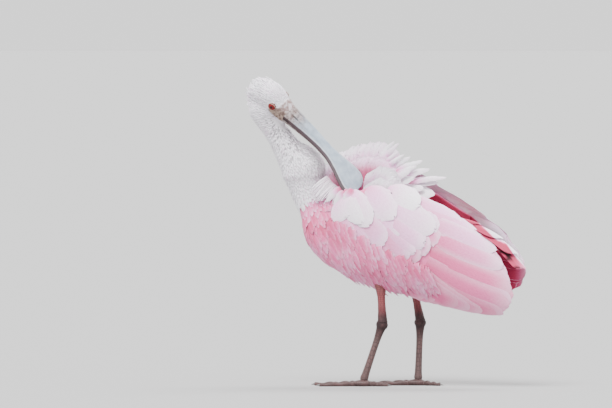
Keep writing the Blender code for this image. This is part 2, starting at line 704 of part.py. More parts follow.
# Legs
def make_leg(side, birds, torso):
    leg = legs[side]
    hip, hock, ankle = (side_view_point(leg[k][0], leg["side"], leg[k][1]) for k in ("hip", "hock", "foot"))
    shin = ankle - hock
    tibia_line = np.array([hip + (hock - hip) * s for s in np.linspace(0, 1, 7)])
    tibia_radius = np.array([0.0150, 0.0135, 0.0095, 0.0066, 0.0062, 0.0070, 0.0082])
    tibia = loft("tibia_" + side, ring_set(tibia_line, tibia_radius, tibia_radius, forward, 10),
                 "leg_skin", birds)
    clear_of(tibia, [torso])
    tarsus_line = np.array([hock + shin * s for s in (-0.04, 0.0, 0.05, 0.12, 0.3, 0.6, 0.88, 0.97, 1.03)])
    thick = np.array([0.0060, 0.0092, 0.0096, 0.0072, 0.0058, 0.0056, 0.0062, 0.0070, 0.0052])
    tarsus = loft("tarsus_" + side, ring_set(tarsus_line, thick * 0.86, thick, forward, 10),
                  "leg_skin", birds)
    clear_of(tarsus, [tibia])
    palm_centre = np.array([ankle[0], ankle[1], toe_thickness / 2])
    nodes = [tibia, tarsus]
    palm_line = np.array([palm_centre + forward * x for x in (-0.011, -0.006, 0.002, 0.010, 0.016)])
    palm = loft("foot_" + side, ring_set(palm_line, np.array([0.004, 0.0085, 0.0105, 0.012, 0.0095]),
                                         np.array([0.0030, 0.0052, 0.0062, 0.0050, 0.0034]), upward, 10),
                "leg_skin", birds)
    flatten_sole(palm)
    clear_of(palm, [tarsus])
    nodes.append(palm)
    inward = -1 if side == "left" else 1
    for name, (turn, length) in toes.items():
        heading = math.radians(turn * inward)
        way = forward * math.cos(heading) + leftward * math.sin(heading)
        reach = np.linspace(0.0, 1.0, 7)
        line = palm_centre + way * (0.006 + length * reach)[:, None]
        knuckle = 1 + 0.16 * np.cos(reach * 3 * 2 * math.pi)
        half = toe_thickness / 2 * knuckle * (1 - 0.45 * reach)
        line[:, 2] = half * sole_press
        toe = loft(f"toe_{name}_{side}", ring_set(line, half, half, upward, 8), "leg_skin", birds)
        flatten_sole(toe)
        clear_of(toe, [palm, tarsus, *nodes[3:]])
        nodes.append(toe)
        claw_reach = np.linspace(0, 1, 4)
        claw_line = line[-1] + way * (claw_length * claw_reach - 0.003)[:, None]
        claw_line[:, 2] = 0.0026 - 0.0012 * claw_reach**2
        claw_half = 0.0022 * (1 - 0.82 * claw_reach)
        claw = loft(f"claw_{name}_{side}", ring_set(claw_line, claw_half, claw_half, upward, 6),
                    "claw_horn", birds)
        flatten_sole(claw)
        clear_of(claw, [toe])
        nodes.append(claw)
    return nodes


def flatten_sole(piece):
    """Presses what reaches below the floor up to it, so that the piece rests on a flat."""
    for vertex in piece.data.vertices:
        vertex.co.z = max(vertex.co.z, sole_height)


def stand_on_origin(nodes):
    """Moves the whole bird so that the middle of its outline is over the origin."""
    corners = np.array([node.matrix_world @ vertex.co for node in nodes for vertex in node.data.vertices])
    middle = (corners.min(axis=0) + corners.max(axis=0)) / 2
    for node in nodes:
        node.location.x -= middle[0]
        node.location.y -= middle[1]


def main():
    clear_scene()
    birds = new_collection("roseate_spoonbill", False)
    cutters = new_collection("cutters", True)
    torso = make_torso(birds)
    neck_upper, neck_lower = make_neck(birds, torso)
    head, eyes = make_head(birds, cutters)
    bill = make_bill(birds, cutters, head)
    clear_of(neck_lower, bill)
    clear_of(neck_upper, [neck_lower, head, *eyes, *bill])
    tibias = [make_leg(side, birds, torso)[0] for side in ("left", "right")]
    blockers = [torso, neck_lower, *bill, *tibias]
    wings = [make_wing(side, birds, cutters, blockers) for side in ("left", "right")]
    tail = make_tail(birds, cutters, torso, wings)
    make_mantle(birds, cutters, [torso, neck_lower, neck_upper, *wings, tail, *bill])
    stand_on_origin(list(birds.objects))


main()
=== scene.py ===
import heapq
import json
import math
from functools import partial

import bpy
import numpy as np
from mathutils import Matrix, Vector
from mathutils.bvhtree import BVHTree

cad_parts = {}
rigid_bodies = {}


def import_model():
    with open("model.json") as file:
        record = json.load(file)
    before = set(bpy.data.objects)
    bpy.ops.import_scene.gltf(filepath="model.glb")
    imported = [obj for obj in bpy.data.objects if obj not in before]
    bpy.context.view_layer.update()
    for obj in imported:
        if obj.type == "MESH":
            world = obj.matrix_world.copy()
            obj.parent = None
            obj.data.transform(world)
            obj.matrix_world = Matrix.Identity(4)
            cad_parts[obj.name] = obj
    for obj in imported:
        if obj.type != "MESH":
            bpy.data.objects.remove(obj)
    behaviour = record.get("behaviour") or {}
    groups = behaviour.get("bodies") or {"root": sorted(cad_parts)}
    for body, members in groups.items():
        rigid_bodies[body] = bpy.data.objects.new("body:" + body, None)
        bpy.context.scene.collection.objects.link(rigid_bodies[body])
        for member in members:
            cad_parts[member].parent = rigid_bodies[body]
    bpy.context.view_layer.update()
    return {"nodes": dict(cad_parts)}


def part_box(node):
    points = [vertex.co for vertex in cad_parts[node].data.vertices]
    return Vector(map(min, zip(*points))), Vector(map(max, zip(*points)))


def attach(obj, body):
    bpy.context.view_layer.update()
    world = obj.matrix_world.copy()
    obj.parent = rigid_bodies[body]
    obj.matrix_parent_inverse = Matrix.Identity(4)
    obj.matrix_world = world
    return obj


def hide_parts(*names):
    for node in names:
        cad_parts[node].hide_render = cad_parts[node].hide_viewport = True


for old in list(bpy.data.objects):
    bpy.data.objects.remove(old)
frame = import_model()
rng = np.random.default_rng(7)
print("stage: frame loaded")


# Small helpers for arrays
def unit(v):
    return v / np.maximum(np.linalg.norm(v, axis=-1, keepdims=True), 1e-12)


def dot(a, b):
    return (a * b).sum(axis=-1)


def blend(a, b, share):
    return a + (b - a) * share


def circle(count):
    return np.linspace(0, 2 * math.pi, count, endpoint=False)


def lookUp(table, place):
    # the columns of a table, read between its rows at places of its first column
    first, *columns = np.asarray(table, float).T
    return [np.interp(place, first, column) for column in columns]


def smoothThrough(stations, count):
    # a smooth curve through the stations, read at even steps of their numbers
    stations = np.asarray(stations, float)
    padded = np.vstack([2 * stations[0] - stations[1], stations, 2 * stations[-1] - stations[-2]])
    place = np.linspace(0, len(stations) - 1, count)
    first = np.minimum(place.astype(int), len(stations) - 2)
    t = (place - first)[:, None]
    p0, p1, p2, p3 = (padded[first + k] for k in range(4))
    return 0.5 * (2 * p1 + (p2 - p0) * t + (2 * p0 - 5 * p1 + 4 * p2 - p3) * t**2
                  + (3 * p1 - p0 - 3 * p2 + p3) * t**3)


def along(line, share):
    # points at shares of the way down a line of a few points
    numbered = np.column_stack([np.arange(len(line)), line])
    return np.stack(lookUp(numbered, np.asarray(share) * (len(line) - 1)), axis=-1)


def ease(x, low, high):
    # 0 below low, 1 above high, an even S between
    t = np.clip((x - low) / (high - low), 0, 1)
    return t * t * (3 - 2 * t)


def ripple(points, size, seed):
    # a soft bumpy value from -1 to 1 all over space: three crossed sine waves with bent coordinates
    p = np.asarray(points) / size + seed * 1.7
    bent = p + 0.6 * np.sin(1.3 * p[..., [1, 2, 0]] + seed)
    return np.sin(bent[..., 0] * 2.1 + 1.1 * np.sin(bent[..., 2])) * np.sin(bent[..., 1] * 1.9) * 0.6 \
        + 0.4 * np.sin(bent[..., 2] * 2.3 + bent[..., 0])


# Placing: the same stance as the solids
stance = {"yaw": math.radians(20), "hipsX": 0.020}
forward = np.array([-math.cos(stance["yaw"]), math.sin(stance["yaw"]), 0.0])
leftward = np.array([-math.sin(stance["yaw"]), -math.cos(stance["yaw"]), 0.0])
upward = np.array([0.0, 0.0, 1.0])

headValues = {
    "base": np.array([-0.1615, 0.018, 0.4424]), "tipY": -0.010, "pitch": math.radians(40.5),
    "bend": math.radians(12), "length": 0.168, "roll": math.radians(48),
    "stations": ((-0.0710, 0.0030, 0.0030, -0.004), (-0.0690, 0.0100, 0.0105, -0.004),
                 (-0.0635, 0.0180, 0.0190, -0.003), (-0.0530, 0.0240, 0.0256, -0.001),
                 (-0.0400, 0.0258, 0.0284, 0.001), (-0.0270, 0.0242, 0.0268, 0.001),
                 (-0.0150, 0.0216, 0.0232, 0.000), (-0.0050, 0.0192, 0.0192, 0.000),
                 (0.0020, 0.0180, 0.0166, 0.000)),
    "collar": ((0.0060, 0.0170, 0.0148, 0.000), (0.0100, 0.0150, 0.0120, 0.000),
               (0.0130, 0.0090, 0.0060, 0.000)),
}
eyeValues = {"radius": 0.0072, "behind": 0.0215, "above": 0.0105, "sunk": 0.0046,
             "iris": ((0.05, 0.0, 0.001), (0.22, 0.002, 0.003)), "ring": (0.05, 0.01, 0.01),
             "pupil": (0.001, 0.001, 0.001)}
# the almond opening, the lid's thickness, and how the skin lies over and under the ball
lidValues = {"wide": 0.0066, "tall": 0.0050, "thick": 0.0006, "over": 0.0003, "reach": 0.0125,
             "under": 0.0006, "tints": ((0.16, 0.11, 0.08), (0.42, 0.33, 0.25))}
headYaw = math.asin((headValues["base"][1] - headValues["tipY"]) / headValues["length"])
headForward = np.array([math.cos(headValues["pitch"]) * math.cos(headYaw), -math.sin(headYaw),
                        -math.sin(headValues["pitch"]) * math.cos(headYaw)])
levelUp = unit(np.cross(np.array([0.0, -1.0, 0.0]), headForward))
toViewer = np.cross(headForward, levelUp)
headDorsal = math.cos(headValues["roll"]) * levelUp + math.sin(headValues["roll"]) * toViewer
headRight = np.cross(headForward, headDorsal)


def eyePlace(side):
    # centre of an eye before the shift onto the solids, and the way it looks
    half, tall, lift = lookUp(headValues["stations"], -eyeValues["behind"])
    up = eyeValues["above"] - lift
    out = half * math.sqrt(1 - (up / tall) ** 2)
    look = unit(np.array([0.12, side * out / half, up / tall]))
    place = np.array([-eyeValues["behind"], side * out, eyeValues["above"]]) - eyeValues["sunk"] * look
    turned = np.stack([headForward, headRight, headDorsal])
    return headValues["base"] + place @ turned, look @ turned


low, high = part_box("eye_right")
shift = (np.array(low) + np.array(high)) / 2 - eyePlace(1)[0]
shift[2] = 0.0
hips = np.array([stance["hipsX"], 0.0, 0.0]) + shift
billBase = headValues["base"] + shift


def bodyPoint(ahead, left, height):
    # world place of a point ahead of the hips, left of the middle and above the floor
    ahead, left, height = (np.asarray(x, float)[..., None] for x in (ahead, left, height))
    return hips + ahead * forward + left * leftward + height * upward


def bodyPlace(points):
    # how far ahead, left and high world points are
    away = np.asarray(points) - hips
    return away @ forward, away @ leftward, away[..., 2]


def sideViewPoint(x, left, height):
    # world place of a point seen at x in the side view
    away = stance["hipsX"] - np.asarray(x, float) - left * math.sin(stance["yaw"])
    return bodyPoint(away / math.cos(stance["yaw"]), left, height)


def headPoint(ahead, right, up):
    ahead, right, up = (np.asarray(x, float)[..., None] for x in (ahead, right, up))
    return billBase + ahead * headForward + right * headRight + up * headDorsal


def headPlace(points):
    away = np.asarray(points) - billBase
    return away @ headForward, away @ headRight, away @ headDorsal


# Meshes from arrays
def halves(quads):
    # each four-sided face as two triangles, all first halves before all second ones
    return np.vstack([quads[:, [0, 1, 2]], quads[:, [0, 2, 3]]])


def signedVolume(points, quads, tris):
    a, b, c = (points[np.vstack([halves(quads), tris])[:, k]] for k in range(3))
    return dot(a, np.cross(b, c)).sum()


def addObject(name, data):
    made = bpy.data.objects.new(name, data)
    bpy.context.scene.collection.objects.link(made)
    return made


def makePiece(name, points, quads, tris, maps, values, finish, replaces):
    # one closed mesh piece: corner maps are given in the order of quads, then triangles
    quads = np.asarray(quads, int).reshape(-1, 4)
    tris = np.asarray(tris, int).reshape(-1, 3)
    if signedVolume(points - points.mean(axis=0), quads, tris) < 0:
        quads, tris = quads[:, ::-1], tris[:, ::-1]
        maps = {key: (q[:, ::-1], t[:, ::-1] if len(t) else t) for key, (q, t) in maps.items()}
    corners = np.concatenate([quads.ravel(), tris.ravel()]).astype(np.int32)
    starts = np.concatenate([np.arange(len(quads)) * 4, quads.size + np.arange(len(tris)) * 3])
    mesh = bpy.data.meshes.new(name)
    mesh.vertices.add(len(points))
    mesh.vertices.foreach_set("co", points.astype(np.float32).ravel())
    mesh.loops.add(len(corners))
    mesh.loops.foreach_set("vertex_index", corners)
    mesh.polygons.add(len(starts))
    mesh.polygons.foreach_set("loop_start", starts.astype(np.int32))
    mesh.polygons.foreach_set("use_smooth", np.ones(len(starts), bool))
    for key, (q, t) in maps.items():
        spread = np.concatenate([q.reshape(-1, 2), np.asarray(t, float).reshape(-1, 2)])
        mesh.uv_layers.new(name=key).uv.foreach_set("vector", spread.astype(np.float32).ravel())
    for key, value in values.items():
        marks = mesh.attributes.new(key, "FLOAT", "POINT").data
        marks.foreach_set("value", value.astype(np.float32).ravel())
    mesh.update(calc_edges=True)
    mesh.validate()
    made = addObject(name, mesh)
    mesh.materials.append(finish)
    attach(made, "root")
    if replaces:
        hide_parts(*replaces)
    return made


def ringFaces(count, around, steps):
    # faces from each ring to the next over a number of steps, and their corners by turn and ring number
    i, j = (a.ravel() for a in np.meshgrid(np.arange(steps), np.arange(around), indexing="ij"))
    corners = ((0, 0), (0, 1), (1, 1), (1, 0))
    quads = np.stack([(i + a) % count * around + (j + b) % around for a, b in corners], axis=1)
    return quads, np.stack([np.stack([j + b, i + a], 1) for a, b in corners], axis=1)


def tubeArrays(rings):
    # rings of points as a closed skin: quads between rings, a fan at each end, and a map of share by turn
    count, around = rings.shape[:2]
    points = np.vstack([rings.reshape(-1, 3), rings[0].mean(axis=0), rings[-1].mean(axis=0)])
    quads, spots = ringFaces(count, around, count - 1)
    j = np.arange(around)
    fans, fanMaps = [], []
    for end, first, second in ((0, j + 1, j), (1, j, j + 1)):
        start, middle = end * (count - 1) * around, count * around + end
        fans.append(np.stack([start + first % around, start + second % around, middle + 0 * j], 1))
        turn = np.stack([first, second, j + 0.5], 1) / around
        level = np.array([end, end, 1.01 if end else -0.01])
        fanMaps.append(np.stack([turn, level + 0 * turn], axis=-1))
    return points, quads, np.vstack(fans), (spots / (around, count - 1), np.vstack(fanMaps))


bakeMargin = 0.03


def inBakeMap(spots):
    return bakeMargin + (1 - 2 * bakeMargin) * np.clip(spots, 0, 1)


def tubePiece(name, rings, finish, replaces, values, plates=None):
    # a closed skin over rings; its own map says turn and share (lay), or counts plates both ways (scale)
    points, quads, tris, (quadMap, triMap) = tubeArrays(rings)
    key, grow = ("lay", np.ones(2)) if plates is None else ("scale", np.array(plates))
    maps = {"OFBake": (inBakeMap(quadMap), inBakeMap(triMap)), key: (quadMap * grow, triMap * grow)}
    marks = {key: np.concatenate([v.ravel(), [v[0].mean(), v[-1].mean()]]) for key, v in values.items()}
    makePiece(name, points, quads, tris, maps, marks, finish, replaces)


def ringSet(path, sideReach, upReach, hint, around):
    # elliptical rings square to a path; both reaches may change round the ring
    heading = unit(np.gradient(path, axis=0))
    side = unit(np.cross(heading, hint))
    up = np.cross(side, heading)
    turn = circle(around)
    sideReach, upReach = (np.reshape(reach, (len(path), -1)) for reach in (sideReach, upReach))
    return (path[:, None] + side[:, None] * (np.cos(turn) * sideReach)[..., None]
            + up[:, None] * (np.sin(turn) * upReach)[..., None])


# Materials: a socket that takes part in Python sums, and a material that makes its nodes
class Shade:
    def __init__(self, finish, socket):
        self.finish = finish
        self.socket = socket

    def __add__(self, other):
        return self.finish.maths("ADD", self, other)

    def __sub__(self, other):
        return self.finish.maths("SUBTRACT", self, other)

    def __rsub__(self, other):
        return self.finish.maths("SUBTRACT", other, self)

    def __mul__(self, other):
        return self.finish.maths("MULTIPLY", self, other)

    __radd__ = __add__
    __rmul__ = __mul__


class Finish:
    def __init__(self, name, **fixed):
        self.material = bpy.data.materials.new(name)
        self.material.use_nodes = True
        self.tree = self.material.node_tree
        self.shader = self.tree.nodes["Principled BSDF"]
        for key, value in fixed.items():
            self.shader.inputs[key.replace("_", " ")].default_value = value

    def plug(self, target, value):
        if isinstance(value, Shade):
            self.tree.links.new(value.socket, target)
        else:
            target.default_value = value

    def node(self, kind, settings=None, sockets=None, out=0):
        made = self.tree.nodes.new(kind)
        for key, value in (settings or {}).items():
            setattr(made, key, value)
        for key, value in (sockets or {}).items():
            self.plug(made.inputs[key], value)
        return Shade(self, made.outputs[out])

    def maths(self, operation, a, b=0.0):
        return self.node("ShaderNodeMath", {"operation": operation}, {0: a, 1: b})

    def mix(self, factor, a, b, way="MIX"):
        colour = lambda c: (*c, 1.0) if isinstance(c, tuple) and len(c) == 3 else c
        return self.node("ShaderNodeMix", {"data_type": "RGBA", "blend_type": way, "clamp_factor": True},
                         {0: factor, 6: colour(a), 7: colour(b)}, out=2)

    def step(self, value, low, high):
        return self.node("ShaderNodeMapRange", {"interpolation_type": "SMOOTHSTEP"},
                         {"Value": value, "From Min": low, "From Max": high})

    def ramp(self, value, stops):
        made = self.tree.nodes.new("ShaderNodeValToRGB")
        elements = made.color_ramp.elements
        while len(elements) > 1:
            elements.remove(elements[-1])
        elements[0].position, elements[0].color = stops[0][0], (*stops[0][1], 1.0)
        for place, colour in stops[1:]:
            elements.new(place).color = (*colour, 1.0)
        self.plug(made.inputs[0], value)
        return Shade(self, made.outputs[0])

    def own(self, name):
        return self.node("ShaderNodeAttribute", {"attribute_name": name}, out="Fac")

    def place(self):
        return self.node("ShaderNodeTexCoord", out="Object")

    def chart(self, name):
        # both directions of a map
        spot = self.node("ShaderNodeUVMap", {"uv_map": name})
        x = self.node("ShaderNodeSeparateXYZ", None, {0: spot}, out="X")
        return x, Shade(self, x.socket.node.outputs["Y"])

    def join(self, x, y):
        return self.node("ShaderNodeCombineXYZ", None, {"X": x, "Y": y, "Z": 0.0})

    def noise(self, vector, scale, detail=3.0, rough=0.55):
        return self.node("ShaderNodeTexNoise", None,
                         {"Vector": vector, "Scale": scale, "Detail": detail, "Roughness": rough})

    def bump(self, height, distance, strength=1.0):
        return self.node("ShaderNodeBump", None,
                         {"Height": height, "Distance": distance, "Strength": strength})

    def use(self, **links):
        for key, value in links.items():
            self.plug(self.shader.inputs[key.replace("_", " ")], value)
        return self.material


plumageValues = {
    "stops": ((0.00, (0.86, 0.86, 0.90)), (0.14, (0.88, 0.48, 0.76)), (0.34, (0.74, 0.155, 0.34)),
              (0.55, (0.50, 0.052, 0.120)), (0.78, (0.33, 0.014, 0.062)), (1.00, (0.10, 0.005, 0.014))),
    "fringe": (0.90, 0.80, 0.90), "flecksAndPaintedShade": (0.06, 0.035, 0.04), "barbs": (0.66, 0.52, 0.60),
    # bare skin, dark and light, on the cheek and by the forehead, and the shade under the feathers
    "bareCheek": ((0.11, 0.070, 0.062), (0.34, 0.25, 0.20)),
    "bareRidge": ((0.24, 0.16, 0.15), (0.50, 0.45, 0.47)), "shadow": (0.70, 0.64, 0.66),
}


def cloudyFinish(name, roughness, scale, depth, strength, tints):
    # two tints mixed by a fine noise that also bumps the surface
    f = Finish(name, Roughness=roughness)
    cloud = f.noise(f.place(), scale)
    return f.use(Base_Color=f.mix(cloud, *tints), Normal=f.bump(cloud, depth, strength))


def featherFinish(name, streakScale, streakDepth, fringe, rootShade, shadow):
    # blush picks the colour, white to crimson; barbs are noise stretched along slanted lines of the vane map
    f = Finish(name, Roughness=0.80, Sheen_Weight=0.04, Sheen_Roughness=0.6, Specular_IOR_Level=0.12)
    across, down = f.chart("vane")
    slant = down + f.maths("ABSOLUTE", across) * 0.8
    tone = f.own("tone")
    streak = f.noise(f.join(slant * streakScale, tone * 37.0 + across * 0.35), 1.0, 4.0, 0.6)
    blush = f.own("blush") + (streak - 0.5) * 0.06 + (tone - 0.5) * 0.05
    base = f.ramp(f.maths("MAXIMUM", blush, 0.0), plumageValues["stops"])
    pale = f.step(f.own("blush"), 0.50, 0.20)
    light = f.mix(f.step(f.own("edge"), 0.30, 1.0) * pale * fringe, base, plumageValues["fringe"])
    # painted shade: each vane darker towards its root, where the feathers lying over it shade it
    shaded = f.mix(f.step(f.own("share"), 0.60, 0.0) * rootShade, light, shadow, "MULTIPLY")
    # painted shade: this darkens the tail's feather gaps, the cheek and the low belly, and also marks the
    # throat's dark flecks
    shaded = f.mix(f.own("flecksAndPaintedShade"), shaded, plumageValues["flecksAndPaintedShade"], "MULTIPLY")
    streaked = f.mix(f.step(streak, 0.35, 0.75) * streakDepth, shaded, plumageValues["barbs"], "MULTIPLY")
    shaft = f.step(f.maths("ABSOLUTE", across), 0.45, 0.12)
    return f.use(Base_Color=streaked, Normal=f.bump(streak * 0.5 + shaft * 0.5, 0.0004, 0.5))


def skinFinish():
    # the skin under the feathers has their blush, darkened as painted shade, and bare mottled skin round the
    # eye and gape
    f = Finish("skin under feathers", Roughness=0.75, Specular_IOR_Level=0.2)
    base = f.ramp(f.own("blush"), plumageValues["stops"])
    under = f.mix(0.55, base, plumageValues["shadow"], "MULTIPLY")
    mottle = f.noise(f.place(), 190.0, 5.0, 0.65)
    cheek = f.mix(f.step(mottle, 0.36, 0.62), *plumageValues["bareCheek"])
    bare = f.mix(f.own("ridge"), cheek, f.mix(f.step(mottle, 0.42, 0.60), *plumageValues["bareRidge"]))
    height = mottle + f.noise(f.place(), 700.0) * 0.5
    return f.use(Base_Color=f.mix(f.own("bare"), under, bare), Normal=f.bump(height, 0.0006, 0.5))


bigFinish = featherFinish("wing feathers", 0.30, 0.30, 0.50, 0.25, (0.80, 0.50, 0.60))
coatFinish = featherFinish("body feathers", 0.45, 0.35, 0.30, 0.45, (0.62, 0.36, 0.44))
downFinish = featherFinish("head down", 0.9, 0.20, 0.20, 0.55, (0.50, 0.50, 0.56))
print("stage: materials ready")


# Feathers: lens-shaped closed vanes, their under side sharing the rim of the upper one
def lensFaces(rows, cols):
    top = np.arange(rows * cols).reshape(rows, cols)
    under = top.copy()
    under[1:-1, 1:-1] = rows * cols + np.arange((rows - 2) * (cols - 2)).reshape(rows - 2, cols - 2)
    cells = lambda g: np.stack([g[:-1, :-1], g[:-1, 1:], g[1:, 1:], g[1:, :-1]], axis=-1).reshape(-1, 4)
    return np.vstack([cells(top), cells(under)[:, ::-1]]), rows * cols + (rows - 2) * (cols - 2)


def lensPoints(upper, lower):
    # upper and lower grids (n, rows, cols, k) as one list for each vane, without the lower grid's rim
    n, k = upper.shape[0], upper.shape[-1]
    return np.concatenate([upper.reshape(n, -1, k), lower[:, 1:-1, 1:-1].reshape(n, -1, k)], axis=1)


leastEnd = 0.12


def vaneWidth(s, look):
    # rises from the root share to full width, then falls as a rounded end
    rise = blend(look["rootShare"], 1, np.sin(np.clip(s / look["full"], 0, 1) * math.pi / 2))
    past = np.clip((s - look["full"]) / (1 - look["full"]), 0, 1)
    return rise * np.maximum(np.sqrt(np.clip(1 - past ** look["round"], 0, 1)), leastEnd)


class FeatherBatch:
    # gathers vanes of one grid size, then makes them one piece; s runs down a vane and v across it
    def __init__(self, rows, cols):
        self.rows, self.cols = rows, cols
        t = np.linspace(0, 1, rows)
        self.s = 1 - (1 - t) ** 1.35
        self.v = np.sin(np.linspace(-1, 1, cols) * math.pi / 2) if cols > 3 else np.linspace(-1, 1, cols)
        self.store = []

    def add(self, upper, lower, width, length, blush, flecksAndPaintedShade=0.0, spots=None, inner=None):
        # the vane map is in millimetres, half the width either side
        n = len(upper)
        s, v = self.s[:, None], self.v[None, :]
        grid = lambda a: np.broadcast_to(a, (n, self.rows, self.cols))[..., None]
        flat = lambda a: lensPoints(grid(a), grid(a))
        wide, long = (np.reshape(a, (n, 1, 1)) for a in (width, length))
        own = np.concatenate([flat(v * 0.5), flat(s - 0.5)], -1)
        self.store.append({
            "point": lensPoints(upper, lower),
            "vane": np.concatenate([flat(wide * 500 * v), flat(long * 1000 * s)], -1),
            "blush": lensPoints(grid(blush), grid(blush if inner is None else inner)),
            "tone": flat(rng.uniform(0, 1, (n, 1, 1))), "share": flat(s), "flecksAndPaintedShade": flat(flecksAndPaintedShade),
            "edge": flat(np.maximum(np.abs(v), (s - 0.6) / 0.4)),
            "spot": own if spots is None else np.reshape(spots, (n, 1, 2)) + 0.003 * own,
        })

    def piece(self, name, finish, replaces, ownCells=True):
        faces, each = lensFaces(self.rows, self.cols)
        joined = {key: np.concatenate([part[key] for part in self.store]) for key in self.store[0]}
        n = len(joined["point"])
        if ownCells:
            side = math.ceil(math.sqrt(n))
            cell = np.stack([np.arange(n) % side, np.arange(n) // side], -1)[:, None]
            joined["spot"] = (cell + 0.5 + 0.84 * joined["spot"]) / side
        quads = (faces[None] + (np.arange(n) * each)[:, None, None]).reshape(-1, 4)
        points, spots, vanes = (joined.pop(key) for key in ("point", "spot", "vane"))
        maps = {key: (flat.reshape(-1, 2)[quads], ()) for key, flat in (("OFBake", spots), ("vane", vanes))}
        made = makePiece(name, points.reshape(-1, 3), quads, (), maps, joined, finish, replaces)
        made.data.set_sharp_from_angle(angle=math.radians(70))
        print("  ", name, n, "feathers", len(quads) * 2, "triangles")


def ragged(n, batch, amount):
    # small random pulls of the rim, side by side and row by row, none in the middle
    pull = rng.normal(0, amount, (n, batch.rows, batch.cols)) * np.abs(batch.v)[None, None] ** 6
    return 1 + pull * ease(batch.s, 0.25, 0.6)[None, :, None]


def layVanes(batch, surface, root, tip, width, lift, look, blush, flecksAndPaintedShade=0.0, inner=None):
    # feathers on a surface of two chart distances and a lift: straight chart lines with sag, raised off their
    # roots over the first part, domed across, the upper edge lower than the lower edge by roll
    n = len(root)
    s, v = batch.s[None, :, None], batch.v[None, None, :]
    span = tip - root
    length = np.linalg.norm(span, axis=-1)
    way = unit(span)
    aside = np.stack([-way[:, 1], way[:, 0]], axis=-1)
    wide = vaneWidth(s, look) * ragged(n, batch, look["ragged"])
    fray = look["fray"] * rng.normal(0, 1, (n, 1, len(batch.v))) * s**6
    reach = s + fray / length[:, None, None]
    offset = v * wide * np.reshape(width, (n, 1, 1)) / 2 + look["sag"] * np.sin(math.pi * s)
    chart = (root[:, None, None] + span[:, None, None] * reach[..., None]
             + aside[:, None, None] * (offset + 0 * reach)[..., None])
    level = -look["sunk"] + (np.reshape(lift, (n, 1, 1)) + look["sunk"]) * np.minimum(1, s / look["rise"])
    level = level - v * look["roll"] / 2 * wide - look["dome"] * v**2 * wide
    thick = look["thick"] * (1 - v**2) * (1 - 0.6 * s)
    upper, lower = (surface(chart[..., 0], chart[..., 1], level + side * thick) for side in (1, -1))
    read = lambda value, points: value(points) if callable(value) else value
    batch.add(upper, lower, width, length, read(blush, upper), read(flecksAndPaintedShade, upper), None, read(inner, lower))


# Crimson band between the wings, by X in the side view and height: the feathers' own deep pink, made deeper
# as painted glow of light through them, under a rim painted pale as lit
bandValues = {
    "line": ((0.0138, 0.340), (0.0825, 0.3097), (0.1187, 0.2854), (0.1375, 0.2747), (0.1589, 0.2547),
             (0.1751, 0.2385), (0.1926, 0.2318), (0.2059, 0.2116), (0.2221, 0.1955)),
    # painted shadow in the dark gaps between the feathers' ends: X, height, half length, half height, slope
    "shadowSlots": ((0.1887, 0.2175, 0.018, 0.0030, -0.40), (0.1900, 0.2085, 0.016, 0.0022, -0.10),
              (0.2033, 0.1955, 0.016, 0.0016, -0.17)),
    "crimson": 0.64, "pale": 0.01, "end": 0.38,
}


def bandBlush(points):
    # crimson below the band's line, pale above it, pinker at the far end: partly the feathers' own colour,
    # partly painted light shining through and on them
    x, z = points[..., 0] - shift[0], points[..., 2]
    above = ease(z - lookUp(bandValues["line"], x)[0], -0.0015, 0.0025)
    red = blend(bandValues["crimson"], bandValues["end"], ease(x, 0.198, 0.222))
    return blend(red, bandValues["pale"], above)


def paintedSlotShadows(points):
    # painted shadow: dark where the gaps between the tail feathers' ends lie in shade
    x, z = points[..., 0] - shift[0], points[..., 2]
    dark = 0 * x
    for slotX, slotZ, halfLength, halfHeight, slope in bandValues["shadowSlots"]:
        away = np.hypot((x - slotX) / halfLength, (z - slotZ - slope * (x - slotX)) / halfHeight)
        dark = np.maximum(dark, 1 - ease(away, 0.7, 1.2))
    return dark


# Folded wings
wingValues = {
    "sections": ((0.110, 0.252, 0.075, 0.050), (0.060, 0.247, 0.086, 0.060), (0.000, 0.237, 0.092, 0.062),
                 (-0.050, 0.222, 0.090, 0.058), (-0.100, 0.206, 0.082, 0.051), (-0.150, 0.186, 0.070, 0.043),
                 (-0.200, 0.166, 0.058, 0.035), (-0.240, 0.152, 0.050, 0.030)),
    "arc": 0.078, "raise": {"left": 0.0, "right": 0.020}, "fan": {"left": 0.0, "right": 0.022},
    "fanShare": {"primaries": 1.0, "secondaries": 0.5},
    "top": ((0.085, 0.300), (0.040, 0.316), (0.000, 0.312), (-0.060, 0.284), (-0.110, 0.256)),
    "hem": ((0.085, 0.222), (0.040, 0.188), (0.000, 0.180), (-0.050, 0.176), (-0.090, 0.186)),
    "bedDepth": 0.007, "bedBlush": 0.34, "puff": 0.0080,
}


def wingSection(ahead):
    return lookUp(wingValues["sections"][::-1], ahead)


def puff(ahead, arc):
    # the coverts stand higher over the wing's front and top, in one smooth swell
    return wingValues["puff"] * ease(arc, -0.030, 0.045) * ease(ahead, -0.110, -0.010)


def flank(side, ahead, arc, lift):
    # a point on the folded wing: arc is its distance up round the section from mid height
    lift = lift + puff(ahead, arc)
    middle, tall, half = wingSection(ahead)
    turn = np.clip(arc / wingValues["arc"], -1.45, 1.45)
    out, up = half * np.cos(turn), tall * np.sin(turn)
    normal = unit(np.stack([out / half**2, up / tall**2], axis=-1))
    out = out + lift * normal[..., 0]
    up = up + lift * normal[..., 1] + middle + wingValues["raise"][side]
    return bodyPoint(ahead, out if side == "left" else -out, up)


def chartOf(places):
    # wing chart places (ahead, arc) of points given by ahead and height
    places = np.asarray(places, float)
    middle, tall, _ = wingSection(places[:, 0])
    arc = wingValues["arc"] * np.arcsin(np.clip((places[:, 1] - middle) / tall, -0.99, 0.99))
    return np.stack([places[:, 0], arc], axis=-1)


